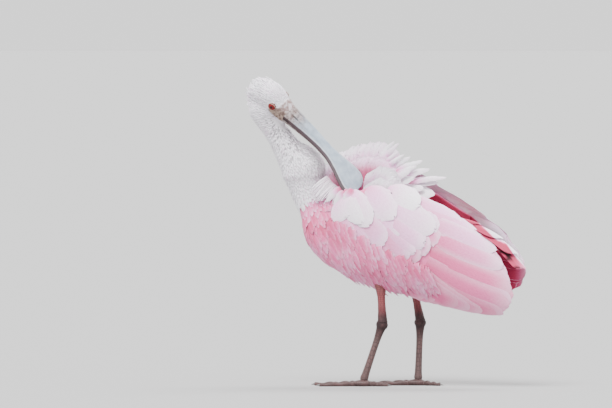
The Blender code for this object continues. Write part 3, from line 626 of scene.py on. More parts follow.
flightLook = {"full": 0.78, "rootShare": 0.50, "round": 2.8, "fray": 0.0004, "sag": 0.004, "sunk": 0.0016,
              "rise": 0.30, "roll": 0.0012, "dome": 0.0006, "thick": 0.00022, "ragged": 0.03}
lobeLook = {**flightLook, "full": 0.60, "rootShare": 0.30, "round": 2.2, "dome": 0.0022, "roll": 0.0010,
            "ragged": 0.05, "fray": 0.0012}
covertLook = {**flightLook, "full": 0.66, "rootShare": 0.34, "round": 2.2, "fray": 0.0010, "dome": 0.0012,
              "roll": 0.0010, "ragged": 0.06}
scapularLook = {**covertLook, "full": 0.62, "fray": 0.0012, "dome": 0.0026}

# Tiers: name, how many, width, lift, look, blush at root and tip of the first and of the last,
# roots and tips by ahead and height
wingTiers = (
    ("primaries", 13, 0.050, 0.0006, flightLook, (0.40, 0.27, 0.40, 0.33),
     ((-0.080, 0.250), (-0.062, 0.226), (-0.052, 0.200), (-0.050, 0.186)),
     ((-0.173, 0.224), (-0.188, 0.198), (-0.202, 0.172), (-0.206, 0.150), (-0.200, 0.133),
      (-0.184, 0.120), (-0.160, 0.118))),
    ("secondaries", 10, 0.050, 0.0014, flightLook, (0.38, 0.33, 0.38, 0.34),
     ((-0.046, 0.196), (0.000, 0.190), (0.050, 0.215)),
     ((-0.145, 0.121), (-0.112, 0.131), (-0.080, 0.141), (-0.050, 0.150), (-0.020, 0.158),
      (0.014, 0.172))),
    ("tertials", 4, 0.046, 0.0026, lobeLook, (0.30, 0.12, 0.36, 0.22),
     ((-0.020, 0.300), (-0.050, 0.276), (-0.066, 0.250)),
     ((-0.116, 0.266), (-0.142, 0.250), (-0.174, 0.224), (-0.189, 0.197))),
    ("lowerCoverts", 9, 0.036, 0.0026, covertLook, (0.36, 0.24, 0.40, 0.36),
     ((-0.036, 0.262), (0.000, 0.236), (0.050, 0.226), (0.086, 0.240)),
     ((-0.090, 0.246), (-0.064, 0.218), (-0.040, 0.202), (-0.010, 0.190), (0.024, 0.192),
      (0.056, 0.204))),
    ("greaterCoverts", 6, 0.044, 0.0036, covertLook, (0.34, 0.08, 0.36, 0.26),
     ((-0.022, 0.284), (0.010, 0.256), (0.050, 0.244), (0.082, 0.254)),
     ((-0.086, 0.260), (-0.070, 0.238), (-0.053, 0.222), (-0.030, 0.214), (-0.003, 0.210),
      (0.024, 0.214), (0.050, 0.224))),
    ("medianCoverts", 5, 0.044, 0.0046, covertLook, (0.28, 0.05, 0.32, 0.16),
     ((0.010, 0.306), (0.048, 0.284), (0.084, 0.280)),
     ((-0.054, 0.276), (-0.026, 0.248), (0.000, 0.236), (0.030, 0.236), (0.058, 0.246))),
    ("scapulars", 4, 0.046, 0.0072, scapularLook, (0.20, 0.04, 0.16, 0.03),
     ((0.006, 0.316), (0.040, 0.318), (0.066, 0.312), (0.088, 0.300)),
     ((-0.052, 0.290), (-0.024, 0.274), (0.004, 0.262), (0.034, 0.262), (0.060, 0.276))),
)
# Single large feathers over the tiers: root, tip, width, lift, blush at root and tip
lobes = (((-0.052, 0.272), (-0.176, 0.2225), 0.044, 0.0040, (0.30, 0.12)),
         ((-0.060, 0.250), (-0.189, 0.1965), 0.044, 0.0032, (0.36, 0.22)),
         ((0.006, 0.298), (-0.080, 0.2545), 0.048, 0.0056, (0.20, 0.08)),
         ((0.004, 0.278), (-0.064, 0.2313), 0.036, 0.0052, (0.22, 0.12)),
         ((0.014, 0.270), (-0.050, 0.2189), 0.030, 0.0047, (0.26, 0.16)),
         ((0.066, 0.308), (0.0374, 0.2636), 0.036, 0.0082, (0.10, 0.03)))

# Soft belly feathers that lie over the foot of the wing: painted shade low on the belly, how many along and
# down, width, fall back and down, lift at the bottom and top row, upper and lower line of their roots
flankValues = {
    "paintedBellyShade": 0.16, "count": (24, 11), "width": 0.0115, "fall": (-0.010, -0.026), "lift": (0.0046, 0.0066),
    "top": ((0.100, 0.272), (0.071, 0.268), (0.020, 0.240), (-0.040, 0.212), (-0.072, 0.196)),
    "foot": ((0.098, 0.218), (0.062, 0.196), (0.014, 0.184), (-0.036, 0.178), (-0.072, 0.178)),
    "look": {**lobeLook, "full": 0.55, "rootShare": 0.40, "round": 1.5, "fray": 0.0022, "dome": 0.0006,
             "sag": 0.003, "ragged": 0.26, "sunk": 0.0060, "thick": 0.00016},
}


def paintedBellyShade(points):
    # painted shade: the belly greyer and darker low down, where it is turned away from the light above
    return flankValues["paintedBellyShade"] * ease(points[..., 2], 0.220, 0.165)


def layFlank(batch, surface):
    across, down = flankValues["count"]
    row, column = np.meshgrid(np.arange(down), np.arange(across), indexing="ij")
    row, column = row.ravel(), column.ravel()
    high = (row + rng.uniform(-0.35, 0.35, len(row))) / (down - 1)
    share = np.clip((column + rng.uniform(-0.3, 0.3, len(row)) + 0.5 * (row % 2)) / across, 0, 1)
    root = blend(along(flankValues["foot"], share), along(flankValues["top"], share), high[:, None])
    tip = root + np.array(flankValues["fall"]) * rng.uniform(0.7, 1.4, (len(row), 1))
    swirl = ripple(np.stack([root[:, 0], root[:, 1], 0 * share], -1), 0.012, 2)
    tip[:, 0] += 0.006 * swirl + rng.uniform(-0.004, 0.004, len(row))
    low, high = flankValues["lift"]
    lift = low + (high - low) * row / (down - 1) + rng.uniform(0, 0.0004, len(row))
    root, tip = chartOf(root), chartOf(tip)
    own = 0.03 + blushOf(surface(*root.T, 0 * lift)) + rng.normal(0, 0.03, len(row))
    blush = own[:, None, None] - 0.06 * batch.s[None, :, None] ** 2
    width = flankValues["width"] * rng.uniform(0.8, 1.2, len(row))
    layVanes(batch, surface, root, tip, width, lift, flankValues["look"], blush, paintedBellyShade)


def wingBed(side):
    # the arm under the feathers: a curved slab between the top and hem lines, thickest in its middle
    share = np.linspace(0, 1, 41)[:, None]
    t = np.linspace(0, 1, 25)[None]
    upper, lower = along(wingValues["top"], share[:, 0]), along(wingValues["hem"], share[:, 0])
    ahead = blend(upper[:, :1], lower[:, :1], t)
    arc = blend(chartOf(upper)[:, 1:], chartOf(lower)[:, 1:], t)
    thick = wingValues["bedDepth"] * np.minimum(1, 0.25 + 4 * np.minimum(share, 1 - share))
    outer = flank(side, ahead, arc, -0.0006 + 0 * arc)
    inner = flank(side, ahead, arc, -thick * (0.35 + 0.65 * np.sin(math.pi * t)))
    return np.concatenate([outer, inner[:, ::-1]], axis=1)


def makeWing(side):
    batch = FeatherBatch(18, 11)
    surface = partial(flank, side)
    inner = None if side == "left" else bandBlush
    for name, count, width, lift, look, (root0, tip0, root1, tip1), roots, tips in wingTiers:
        share = np.linspace(0, 1, count)
        raised = wingValues["fan"][side] * wingValues["fanShare"].get(name, 0.0)
        fan = np.array([(a, h + raised * max(0.0, (0.23 - h) / 0.11)) for a, h in tips])
        root = chartOf(along(roots, share))
        tip = chartOf(along(fan, share)) + rng.uniform(-0.0015, 0.0015, (count, 2))
        widths = width * rng.uniform(0.92, 1.08, count)
        lifts = lift + 0.0003 * (np.arange(count) % 3)
        k, s = share[:, None, None], batch.s[None, :, None] ** 0.8
        blush = blend(root0, tip0, s) * (1 - k) + blend(root1, tip1, s) * k
        blush = blush + 0.02 * rng.normal(0, 1, (count, 1, 1))
        layVanes(batch, surface, root, tip, widths, lifts, look, blush, 0.0, inner)
    places = np.array([(*root, *tip) for root, tip, *_ in lobes])
    width, lift = np.array([(w, up) for _, _, w, up, _ in lobes]).T
    ends = np.array([tint for *_, tint in lobes])[:, :, None, None]
    blush = blend(ends[:, 0], ends[:, 1], batch.s[None, :, None] ** 0.8)
    root, tip = chartOf(places[:, :2]), chartOf(places[:, 2:])
    layVanes(batch, surface, root, tip, width, lift, lobeLook, blush, 0.0, inner)
    batch.piece("wingFeathers" + side.capitalize(), bigFinish, ("wing_" + side,))
    bed = wingBed(side)
    bedBlush = wingValues["bedBlush"] + 0 * bed[..., 0] if side == "left" else bandBlush(bed)
    tubePiece("wingArm" + side.capitalize(), bed, bedFinish, (), {"blush": bedBlush})


def bedMaterial():
    # the soft plumage under the wing's feathers
    f = Finish("wing bed", Roughness=0.8)
    tuft = f.noise(f.place(), 260.0, 4.0)
    base = f.ramp(f.own("blush") + (tuft - 0.5) * 0.1, plumageValues["stops"])
    return f.use(Base_Color=base, Normal=f.bump(tuft, 0.001, 0.6))


bedFinish = bedMaterial()
for side in ("left", "right"):
    makeWing(side)
print("stage: wings")


# Tail
tailValues = {
    "line": ((-0.088, 0.262), (-0.120, 0.256), (-0.160, 0.238), (-0.190, 0.216), (-0.213, 0.190)),
    "droop": 4.0,
    # how many, width, lift, root and tip along the line, half spread at root and tip
    "rows": ((10, 0.022, 0.0000, 0.02, 1.00, 0.012, 0.022), (8, 0.021, 0.0050, -0.06, 0.80, 0.013, 0.020),
             (7, 0.020, 0.0084, -0.20, 0.58, 0.012, 0.017), (6, 0.020, 0.0110, -0.30, 0.34, 0.011, 0.014),
             (6, 0.018, -0.0082, 0.06, 0.52, 0.010, 0.014)),
    "step": 0.0010,
    # the core under the feathers: share of the line, half width, half thickness
    "base": ((-0.02, 0.012, 0.009), (0.1, 0.017, 0.010), (0.2, 0.018, 0.0085), (0.3, 0.016, 0.006),
             (0.42, 0.010, 0.004)),
}
tailFine = smoothThrough(tailValues["line"], 61)
tailLength = float(np.linalg.norm(np.diff(tailFine, axis=0), axis=1).sum())


def tailSurface(down, across, lift):
    # down is the distance along the tail's line, across the distance to the left
    down = down / tailLength
    past = np.minimum(down, 0.0)[..., None] * (tailFine[-1] - tailFine[0]) * 0.9
    read = lambda line: np.stack(lookUp(np.column_stack([np.linspace(0, 1, len(line)), line]), down), axis=-1)
    place = read(tailFine) + past * (1.0, 0.35)
    way = unit(read(np.gradient(tailFine, axis=0)))
    normal = np.stack([way[..., 1], -way[..., 0]], axis=-1)
    place = place + normal * lift[..., None]
    return bodyPoint(place[..., 0], across, place[..., 1] - tailValues["droop"] * across**2)


def makeTail():
    batch = FeatherBatch(16, 9)
    look = {**flightLook, "sag": 0.0, "roll": 0.0, "dome": 0.0006, "sunk": 0.0015}
    for count, width, lift, start, end, rootSpread, tipSpread in tailValues["rows"]:
        side = np.linspace(-1, 1, count)
        reach = end - 0.05 * side**2 + rng.uniform(-0.012, 0.012, count)
        inwards = (count - 1) / 2 * (1 - np.abs(side)) * 7 / count + 0.25 * (side > 0)
        level = lift + np.copysign(tailValues["step"] * inwards, lift)
        root = np.stack([np.full(count, start * tailLength), side * rootSpread], -1)
        tip = np.stack([reach * tailLength, side * tipSpread], -1)
        widths = width * rng.uniform(0.95, 1.05, count)
        layVanes(batch, tailSurface, root, tip, widths, level, look, bandBlush, paintedSlotShadows, bandBlush)
    chart = np.linspace(tailValues["base"][0][0], tailValues["base"][-1][0], 12)
    wide, thick = lookUp(tailValues["base"], chart)
    turn = circle(24)
    rings = tailSurface(chart[:, None] * tailLength + 0 * turn, wide[:, None] * np.cos(turn),
                        thick[:, None] * np.sin(turn))
    tubePiece("tailBase", rings, bedFinish, (), {"blush": bandBlush(rings)})
    batch.piece("tailFeathers", bigFinish, ("tail",))


makeTail()
print("stage: tail")


# Ruffled mantle: raised plumes as rows of roots and tips by side view X and height
mantleValues = {
    # how many, width, left at root and tip, blush at root and tip, roots, tips
    "rows": ((34, 0.032, -0.022, -0.020, (0.38, 0.02),
              ((-0.082, 0.304), (-0.056, 0.320), (-0.030, 0.330), (-0.010, 0.328), (0.006, 0.322)),
              ((-0.101, 0.350), (-0.078, 0.374), (-0.055, 0.384), (-0.034, 0.391), (-0.012, 0.394),
               (0.004, 0.388))),
             (26, 0.030, -0.010, -0.008, (0.42, 0.12),
              ((-0.080, 0.302), (-0.050, 0.318), (-0.020, 0.326), (0.004, 0.318)),
              ((-0.100, 0.334), (-0.074, 0.358), (-0.044, 0.368), (-0.016, 0.372), (0.004, 0.366),
               (0.016, 0.352))),
             (9, 0.022, 0.006, 0.012, (0.40, 0.30),
              ((-0.074, 0.296), (-0.060, 0.300)), ((-0.103, 0.322), (-0.090, 0.344), (-0.066, 0.352))),
             (20, 0.026, 0.006, 0.012, (0.22, 0.01),
              ((-0.030, 0.304), (-0.004, 0.306), (0.012, 0.300)),
              ((-0.022, 0.346), (-0.008, 0.355), (0.006, 0.352), (0.014, 0.343), (0.020, 0.330),
               (0.028, 0.314))),
             (18, 0.024, 0.018, 0.022, (0.12, 0.00),
              ((-0.034, 0.292), (-0.004, 0.294), (0.016, 0.288)),
              ((-0.026, 0.326), (-0.010, 0.336), (0.004, 0.333), (0.014, 0.324), (0.024, 0.312)))),
    # long white plumes: root X, root height, tip X, tip height, left, width
    "plumes": ((-0.016, 0.350, 0.0205, 0.3925, -0.018, 0.010), (-0.020, 0.352, 0.012, 0.395, -0.020, 0.011),
               (-0.012, 0.346, 0.021, 0.3805, -0.012, 0.008), (-0.010, 0.342, 0.0295, 0.3745, -0.008, 0.008),
               (-0.006, 0.338, 0.040, 0.3705, -0.012, 0.010), (0.000, 0.336, 0.059, 0.3635, -0.010, 0.011),
               (0.004, 0.330, 0.050, 0.3555, -0.006, 0.011), (0.006, 0.326, 0.070, 0.350, -0.012, 0.014),
               (0.012, 0.322, 0.097, 0.336, -0.014, 0.011), (0.008, 0.320, 0.084, 0.328, -0.018, 0.018),
               (0.006, 0.314, 0.079, 0.3085, -0.016, 0.028), (0.000, 0.312, 0.062, 0.318, -0.010, 0.020),
               (-0.004, 0.318, 0.046, 0.336, -0.004, 0.018), (-0.002, 0.322, 0.040, 0.348, 0.000, 0.014),
               (-0.070, 0.322, -0.095, 0.300, 0.050, 0.013), (-0.062, 0.318, -0.084, 0.293, 0.052, 0.015),
               (-0.056, 0.320, -0.070, 0.292, 0.054, 0.015)),
    # narrow hackles at the foot of the neck: count, width, left, roots and tips
    "hackles": (40, 0.0034, 0.038, ((-0.096, 0.340), (-0.088, 0.330), (-0.078, 0.322)),
                ((-0.122, 0.318), (-0.116, 0.304), (-0.092, 0.300))),
    "bow": 0.005,
    "bed": ((-0.086, -0.004, 0.303), (-0.055, -0.005, 0.319), (-0.010, -0.008, 0.322), (0.025, -0.010, 0.312),
            (0.050, -0.008, 0.300)),
    "bedReach": (0.022, 0.010),
    "look": {"full": 0.62, "rootShare": 0.45, "round": 2.0, "fray": 0.0016, "dome": 0.0010, "curl": 0.001,
             "thick": 0.00020, "ragged": 0.08},
    "plumeLook": {"full": 0.42, "rootShare": 0.45, "round": 1.5, "fray": 0.0012, "dome": 0.0012,
                  "curl": 0.004, "thick": 0.00025, "ragged": 0.12},
}


def layPlumes(batch, root, tip, width, turn, look, bow, blush):
    # raised feathers between points, bowed, the face turned between the viewer and the sky
    n = len(root)
    s, v = batch.s[None, :, None, None], batch.v[None, None, :, None]
    span = tip - root
    length = np.linalg.norm(span, axis=-1)
    facing = unit(np.stack([0.25 + 0 * turn, -np.cos(turn), np.sin(turn)], -1))
    across = unit(np.cross(span, facing))
    facing = unit(np.cross(across, span))
    span, across, facing = (a[:, None, None] for a in (span, across, facing))
    wide = vaneWidth(s, look) * ragged(n, batch, look["ragged"])[..., None]
    fray = look["fray"] * rng.normal(0, 1, (n, 1, len(batch.v), 1)) * s**5
    middle = (root[:, None, None] + span * (s + fray / length[:, None, None, None])
              + facing * (bow * np.sin(math.pi * s)) + upward * (0.5 * bow * np.sin(math.pi * s))
              + across * v * wide * np.reshape(width, (n, 1, 1, 1)) / 2
              + facing * (look["curl"] * s**3 - look["dome"] * v**2 * wide))
    thick = facing * look["thick"] * (1 - v**2) * (1 - 0.6 * s)
    batch.add(middle + thick, middle - thick, width, length, blush)


def makeMantle():
    batch = FeatherBatch(16, 11)
    for count, width, rootLeft, tipLeft, (rootBlush, tipBlush), roots, tips in mantleValues["rows"]:
        share = np.linspace(0, 1, count)
        rootPlace, tipPlace = along(roots, share), along(tips, share)
        stray = rng.uniform(-0.0008, 0.0008, count)
        root = sideViewPoint(rootPlace[:, 0], rootLeft, rootPlace[:, 1])
        tip = sideViewPoint(tipPlace[:, 0], tipLeft + 2 * stray, tipPlace[:, 1] + stray)
        blush = blend(rootBlush, tipBlush, ease(batch.s, 0.30, 0.95)[None, :, None])
        widths = width * rng.uniform(0.85, 1.1, count)
        turn = 0.35 + 0.20 * rng.uniform(-1, 1, count)
        layPlumes(batch, root, tip, widths, turn, mantleValues["look"], mantleValues["bow"], blush)
    rootX, rootZ, tipX, tipZ, side, width = np.array(mantleValues["plumes"]).T
    blush = 0.34 - 0.33 * ease(batch.s, 0.15, 0.70)[None, :, None]
    layPlumes(batch, sideViewPoint(rootX, side, rootZ), sideViewPoint(tipX, side, tipZ), width,
              0.45 + 0 * width, mantleValues["plumeLook"], mantleValues["bow"], blush)
    count, width, side, roots, tips = mantleValues["hackles"]
    share = np.tile(np.linspace(0, 1, count // 2), 2)
    rootPlace, tipPlace = along(roots, share), along(tips, share) + rng.uniform(-0.005, 0.005, (count, 2))
    layPlumes(batch, sideViewPoint(rootPlace[:, 0], side - 0.006, rootPlace[:, 1]),
              sideViewPoint(tipPlace[:, 0], side + 0.002 * rng.uniform(-1, 1, count), tipPlace[:, 1]),
              width * rng.uniform(0.7, 1.2, count), 0.3 + 0 * share, mantleValues["plumeLook"], 0.002, 0.02)
    bed = sideViewPoint(*np.asarray(mantleValues["bed"]).T)
    path = smoothThrough(bed, 21)
    swell = np.sin(np.linspace(0.35, 2.8, 21))
    wide, tall = mantleValues["bedReach"]
    tubePiece("mantleBase", ringSet(path, wide * swell, tall * swell, upward, 28), bedFinish, (),
              {"blush": np.full((21, 28), 0.30)})
    batch.piece("mantlePlumes", bigFinish, ("mantle",))


makeMantle()
print("stage: mantle")


# Skin: one surface over head, neck and torso
bodyValues = {
    "torso": ((0.166, 0.262, 0.272, 0.006), (0.160, 0.238, 0.292, 0.024), (0.148, 0.217, 0.306, 0.036),
              (0.126, 0.196, 0.316, 0.047), (0.094, 0.179, 0.319, 0.054), (0.052, 0.165, 0.317, 0.056),
              (0.010, 0.150, 0.311, 0.055), (-0.030, 0.146, 0.301, 0.050), (-0.064, 0.156, 0.287, 0.041),
              (-0.092, 0.182, 0.271, 0.029), (-0.112, 0.212, 0.256, 0.017), (-0.122, 0.232, 0.246, 0.006)),
    "neck": ((-0.2110, 0.026, 0.4700, 0.0040), (-0.2085, 0.026, 0.4655, 0.0160),
             (-0.2040, 0.027, 0.4570, 0.0235), (-0.1985, 0.028, 0.4450, 0.0250),
             (-0.1900, 0.030, 0.4290, 0.0226), (-0.1785, 0.033, 0.4110, 0.0212),
             (-0.1605, 0.036, 0.3830, 0.0248), (-0.1370, 0.041, 0.3540, 0.0385),
             (-0.1290, 0.044, 0.3260, 0.0320), (-0.1170, 0.044, 0.2980, 0.0320),
             (-0.1000, 0.040, 0.2700, 0.0340)),
    "neckFlatness": 0.84, "voxel": 0.0022, "relax": 14,
    # depth of the coat on the head, neck and torso, and the reach of the bill's base
    "depth": (0.0016, 0.0024, 0.0040), "billRoom": 0.024,
}
neckFine = smoothThrough(bodyValues["neck"], 121)
neckFine[:, :3] += shift


def torsoRings():
    ahead, low, high, half = smoothThrough(bodyValues["torso"], 60).T[..., None]
    turn = circle(56)
    out = half * np.cos(turn) * (1 - 0.10 * np.sin(turn))
    return bodyPoint(ahead + 0 * turn, out, (low + high) / 2 + (high - low) / 2 * np.sin(turn))


def headRings():
    stations = headValues["stations"] + headValues["collar"]
    ahead, half, tall, lift = smoothThrough(stations, 60).T[..., None]
    turn = circle(48)
    return headPoint(ahead + 0 * turn, half * np.cos(turn), lift + tall * np.sin(turn))


def neckNear(points):
    # share along the neck of the nearest point of its line, and how far off it is in radii
    away = np.linalg.norm(points[:, None] - neckFine[None, :, :3], axis=-1) / neckFine[None, :, 3]
    nearest = away.argmin(axis=1)
    return nearest / (len(neckFine) - 1), away.min(axis=1)


def headNear(points):
    # 1 on the head, 0 off it
    ahead, right, up = headPlace(points)
    return ease(ahead, -0.082, -0.066) * ease(np.hypot(right, up), 0.036, 0.029)


def barePart(points):
    # the naked skin from the eye to the gape and the bill's base, on both sides
    ahead, right, up = headPlace(points)
    t = np.clip((ahead + 0.0236) / 0.0236, 0, 1.1)
    middle = 0.0070 - 0.0035 * t
    half = 0.0062 + 0.0038 * t + 0.0016 * ripple(points, 0.004, 4)
    side = ease(np.abs(right), 0.006, 0.010)
    patch = side * ease(half - np.abs(up - middle), -0.0008, 0.0008) * ease(ahead, -0.0250, -0.0225)
    collar = ease(ahead + 0.0012 * ripple(points, 0.004, 6), -0.0122, -0.0106) * ease(up, -0.004, 0.001)
    return np.maximum(patch, collar) * ease(ahead, 0.030, 0.020)


def blushOf(points):
    # white on head and neck down to the pink edge of the breast, then rose with redder clouds
    _, radii = neckNear(points)
    ahead, _, height = bodyPlace(points)
    edge = 0.3045 - 0.013 * ease(shift[0] - points[..., 0], 0.128, 0.146) + 0.0015 * ripple(points, 0.010, 3)
    neck = ease(1.45 - radii, 0.0, 0.12) * ease(height - edge, -0.002, 0.002)
    neck = np.maximum(neck, ease(height, 0.335, 0.345))
    pink = 0.33 + 0.05 * ripple(points, 0.024, 1) + 0.04 * ripple(points, 0.008, 2)
    coral = np.exp(-((ahead - 0.135) / 0.030) ** 2 - ((height - 0.262) / 0.018) ** 2)
    pink = pink + (0.12 + 0.16 * ripple(points, 0.009, 7)) * coral
    cream = 0.02 * ripple(points, 0.015, 5)
    return np.clip(pink * (1 - neck) + np.clip(cream, 0, 1) * neck, 0, 1)


def temporaryObject(rings):
    points, quads, tris, _ = tubeArrays(rings)
    mesh = bpy.data.meshes.new("form")
    if signedVolume(points - points.mean(axis=0), quads, tris) < 0:
        quads, tris = quads[:, ::-1], tris[:, ::-1]
    mesh.from_pydata(points.tolist(), [], quads.tolist() + tris.tolist())
    return addObject("form", mesh)


def selectOnly(chosen):
    bpy.ops.object.select_all(action="DESELECT")
    for one in chosen:
        one.select_set(True)
    bpy.context.view_layer.objects.active = chosen[0]


def makeSkin():
    neckRings = ringSet(neckFine[:, :3], neckFine[:, 3], neckFine[:, 3] * bodyValues["neckFlatness"],
                        np.array([0.0, 1.0, 0.0]), 44)
    forms = [temporaryObject(rings) for rings in (torsoRings(), neckRings, headRings())]
    selectOnly(forms)
    bpy.ops.object.join()
    whole = forms[0]
    joint = whole.modifiers.new("join", "REMESH")
    joint.mode = "VOXEL"
    joint.voxel_size = bodyValues["voxel"]
    whole.modifiers.new("relax", "SMOOTH").iterations = bodyValues["relax"]
    mesh = bpy.data.meshes.new_from_object(whole.evaluated_get(bpy.context.evaluated_depsgraph_get()))
    bpy.data.objects.remove(whole)
    return mesh


def readAll(source, key, width, kind=np.float32):
    values = np.zeros(len(source) * width, kind)
    source.foreach_get(key, values)
    return values.reshape(-1, width)


def meshArrays(mesh):
    corners = readAll(mesh.loops, "vertex_index", 1, np.int32).reshape(-1, 4)
    points, normals = (readAll(source, key, 3).astype(float)
                       for source, key in ((mesh.vertices, "co"), (mesh.vertex_normals, "vector")))
    return points, corners, normals


def spreadFrom(points, quads, sources, evenings=40):
    # distance over the skin from the source points, by shortest paths along edges and face diagonals, evened
    pairs = np.vstack([quads[:, pair] for pair in ([0, 1], [1, 2], [2, 3], [3, 0], [0, 2], [1, 3])])
    pairs = np.unique(np.sort(pairs, axis=1), axis=0)
    length = np.linalg.norm(points[pairs[:, 0]] - points[pairs[:, 1]], axis=1)
    both = np.concatenate([pairs, pairs[:, ::-1]])
    order = np.argsort(both[:, 0], kind="stable")
    starts = np.searchsorted(both[order, 0], np.arange(len(points) + 1)).tolist()
    ends, steps = both[order, 1].tolist(), np.tile(length, 2)[order].tolist()
    found = [math.inf] * len(points)
    heap = []
    for k in sources.tolist():
        found[k] = 0.0
        heap.append((0.0, k))
    while heap:
        d, k = heapq.heappop(heap)
        if d > found[k]:
            continue
        for e in range(starts[k], starts[k + 1]):
            far = d + steps[e]
            if far < found[ends[e]]:
                found[ends[e]] = far
                heapq.heappush(heap, (far, ends[e]))
    found = np.array(found)
    degree = np.bincount(pairs.ravel(), minlength=len(points))
    for _ in range(evenings):
        near = (np.bincount(pairs[:, 0], found[pairs[:, 1]], len(points))
                + np.bincount(pairs[:, 1], found[pairs[:, 0]], len(points))) / degree
        found = 0.5 * found + 0.5 * near
    return found


def lieOf(points, quads, normals, field):
    # the way feathers lie: the uphill direction of the field on each face, gathered at the corners
    tris = halves(quads)
    a, b, c = (points[tris[:, k]] for k in range(3))
    normal = np.cross(b - a, c - a)
    area = np.linalg.norm(normal, axis=1, keepdims=True)
    normal = normal / np.maximum(area, 1e-15)
    fa, fb, fc = (field[tris[:, k]][:, None] for k in range(3))
    uphill = np.cross(normal, fa * (c - b) + fb * (a - c) + fc * (b - a))
    gathered = np.zeros_like(points)
    for k in range(3):
        for axis in range(3):
            gathered[:, axis] += np.bincount(tris[:, k], uphill[:, axis], len(points))
    gathered = gathered - normals * dot(gathered, normals)[:, None]
    return unit(gathered)


def closeRoundEyes(points):
    # skin outside the almond opening is pushed out over the ball, and inside it stays under the ball
    for side in (1, -1):
        centre, look = eyePlace(side)
        away = points - (centre + shift)
        ahead = unit(headForward - look * (headForward @ look))
        third = np.cross(look, ahead)
        opening = np.hypot(away @ ahead / lidValues["wide"], away @ third / lidValues["tall"])
        distance = np.linalg.norm(away, axis=1)
        outer, inner = eyeValues["radius"] + lidValues["over"], eyeValues["radius"] - lidValues["under"]
        near = (away @ look > 0) & (distance < lidValues["reach"])
        wanted = np.where(near & (opening >= 1) & (distance < outer), outer, distance)
        wanted = np.where(near & (opening < 1) & (distance > inner), inner, wanted)
        points = centre + shift + away * (wanted / np.maximum(distance, 1e-9))[:, None]
    return points


skinMesh = makeSkin()
outerPoints, skinQuads, skinNormals = meshArrays(skinMesh)
print("stage: skin remeshed,", len(outerPoints), "points")
onHead = headNear(outerPoints)
bareAt = barePart(outerPoints)
onTorso = ease(bodyPlace(outerPoints)[2], 0.305, 0.275)
headDepth, neckDepth, torsoDepth = bodyValues["depth"]
coatDepth = blend(neckDepth, torsoDepth, onTorso) * (1 - onHead) + headDepth * onHead
coatDepth = coatDepth * (1 - bareAt) + 0.0002 * bareAt
skinPoints = closeRoundEyes(outerPoints - skinNormals * coatDepth[:, None])
headAhead, headAside, headHigh = headPlace(outerPoints)
roundBill = np.hypot(headAside, headHigh) < bodyValues["billRoom"]
sources = np.flatnonzero((np.abs(headAhead - 0.003) < 0.007) & roundBill)
awayFromBill = spreadFrom(outerPoints, skinQuads, sources)
lie = lieOf(outerPoints, skinQuads, skinNormals, awayFromBill)

ridge = ease(headHigh, 0.010, 0.016)
marks = {"blush": blushOf(skinPoints), "bare": bareAt, "ridge": ridge}
skin = makePiece("skin", skinPoints, skinQuads, (), {}, marks, skinFinish(),
                 ("head", "neck_upper", "neck_lower", "torso"))
bpy.data.meshes.remove(skinMesh)
selectOnly([skin])
skin.data.uv_layers.new(name="OFBake")
bpy.ops.object.mode_set(mode="EDIT")
bpy.ops.mesh.select_all(action="SELECT")
bpy.ops.uv.smart_project(angle_limit=math.radians(66), island_margin=0.004)
bpy.ops.object.mode_set(mode="OBJECT")
print("stage: skin")


# Coat: small feathers rooted on the skin
coatValues = {
    # spacing, length and width on the crown, face, neck, lower neck and body
    "spacing": (0.0021, 0.0017, 0.0021, 0.0026, 0.0050),
    "length": (0.0080, 0.0048, 0.0058, 0.0075, 0.0270),
    "width": (0.0021, 0.0016, 0.0020, 0.0028, 0.0100),
    "lift": (0.0012, 0.0010, 0.0008, 0.0010, 0.0018),
    "nape": 0.0030, "spikes": 0.0060, "lidRoom": 0.0083, "bodyFrom": 0.0042, "tries": 5.0, "cell": 0.0072,
    "flecks": 0.30, "fleckDusk": 0.60, "cheekPaintedShade": 0.20,
    "look": {"full": 0.58, "rootShare": 0.30, "round": 2.0, "sunk": 0.0006, "stray": 0.14, "fray": 0.05,
             "dome": 0.12, "thick": 0.00025},
}


def zoneMix(points, row):
    crown, face, neck, low, body = coatValues[row]
    onFace = ease(headPlace(points)[0], -0.040, -0.012)
    share, _ = neckNear(points)
    onHeadNow = headNear(points)
    plain = blend(neck, low, ease(share, 0.45, 0.75))
    plain = blend(plain, body, ease(bodyPlace(points)[2], 0.315, 0.285))
    return plain * (1 - onHeadNow) + blend(crown, face, onFace) * onHeadNow


def scatterRoots():
    # candidates by area over the square of the spacing wanted, then each that stands clear of those kept
    tris = halves(skinQuads)
    a, b, c = (skinPoints[tris[:, k]] for k in range(3))
    area = np.linalg.norm(np.cross(b - a, c - a), axis=1) / 2
    centre = (a + b + c) / 3
    weight = area / zoneMix(centre, "spacing") ** 2
    count = int(weight.sum() * coatValues["tries"])
    chosen = rng.choice(len(tris), count, p=weight / weight.sum())
    r1, r2 = np.sqrt(rng.uniform(0, 1, (count, 1))), rng.uniform(0, 1, (count, 1))
    mixes = np.concatenate([1 - r1, r1 * (1 - r2), r1 * r2], axis=1)
    corner = tris[chosen]
    gather = lambda values: (values[corner] * mixes[..., None]).sum(axis=1)
    place = gather(skinPoints)
    gap = zoneMix(place, "spacing")
    keep = clearOf(place, gap)
    second = chosen >= len(skinQuads)
    loops = np.where(second[:, None], [0, 2, 3], [0, 1, 2]) + (chosen % len(skinQuads))[:, None] * 4
    spread = readAll(skin.data.uv_layers["OFBake"].uv, "vector", 2)
    spot = (spread[loops] * mixes[..., None]).sum(axis=1)
    return (place[keep], unit(gather(skinNormals))[keep], unit(gather(lie))[keep], spot[keep],
            (bareAt[corner] * mixes).sum(axis=1)[keep])


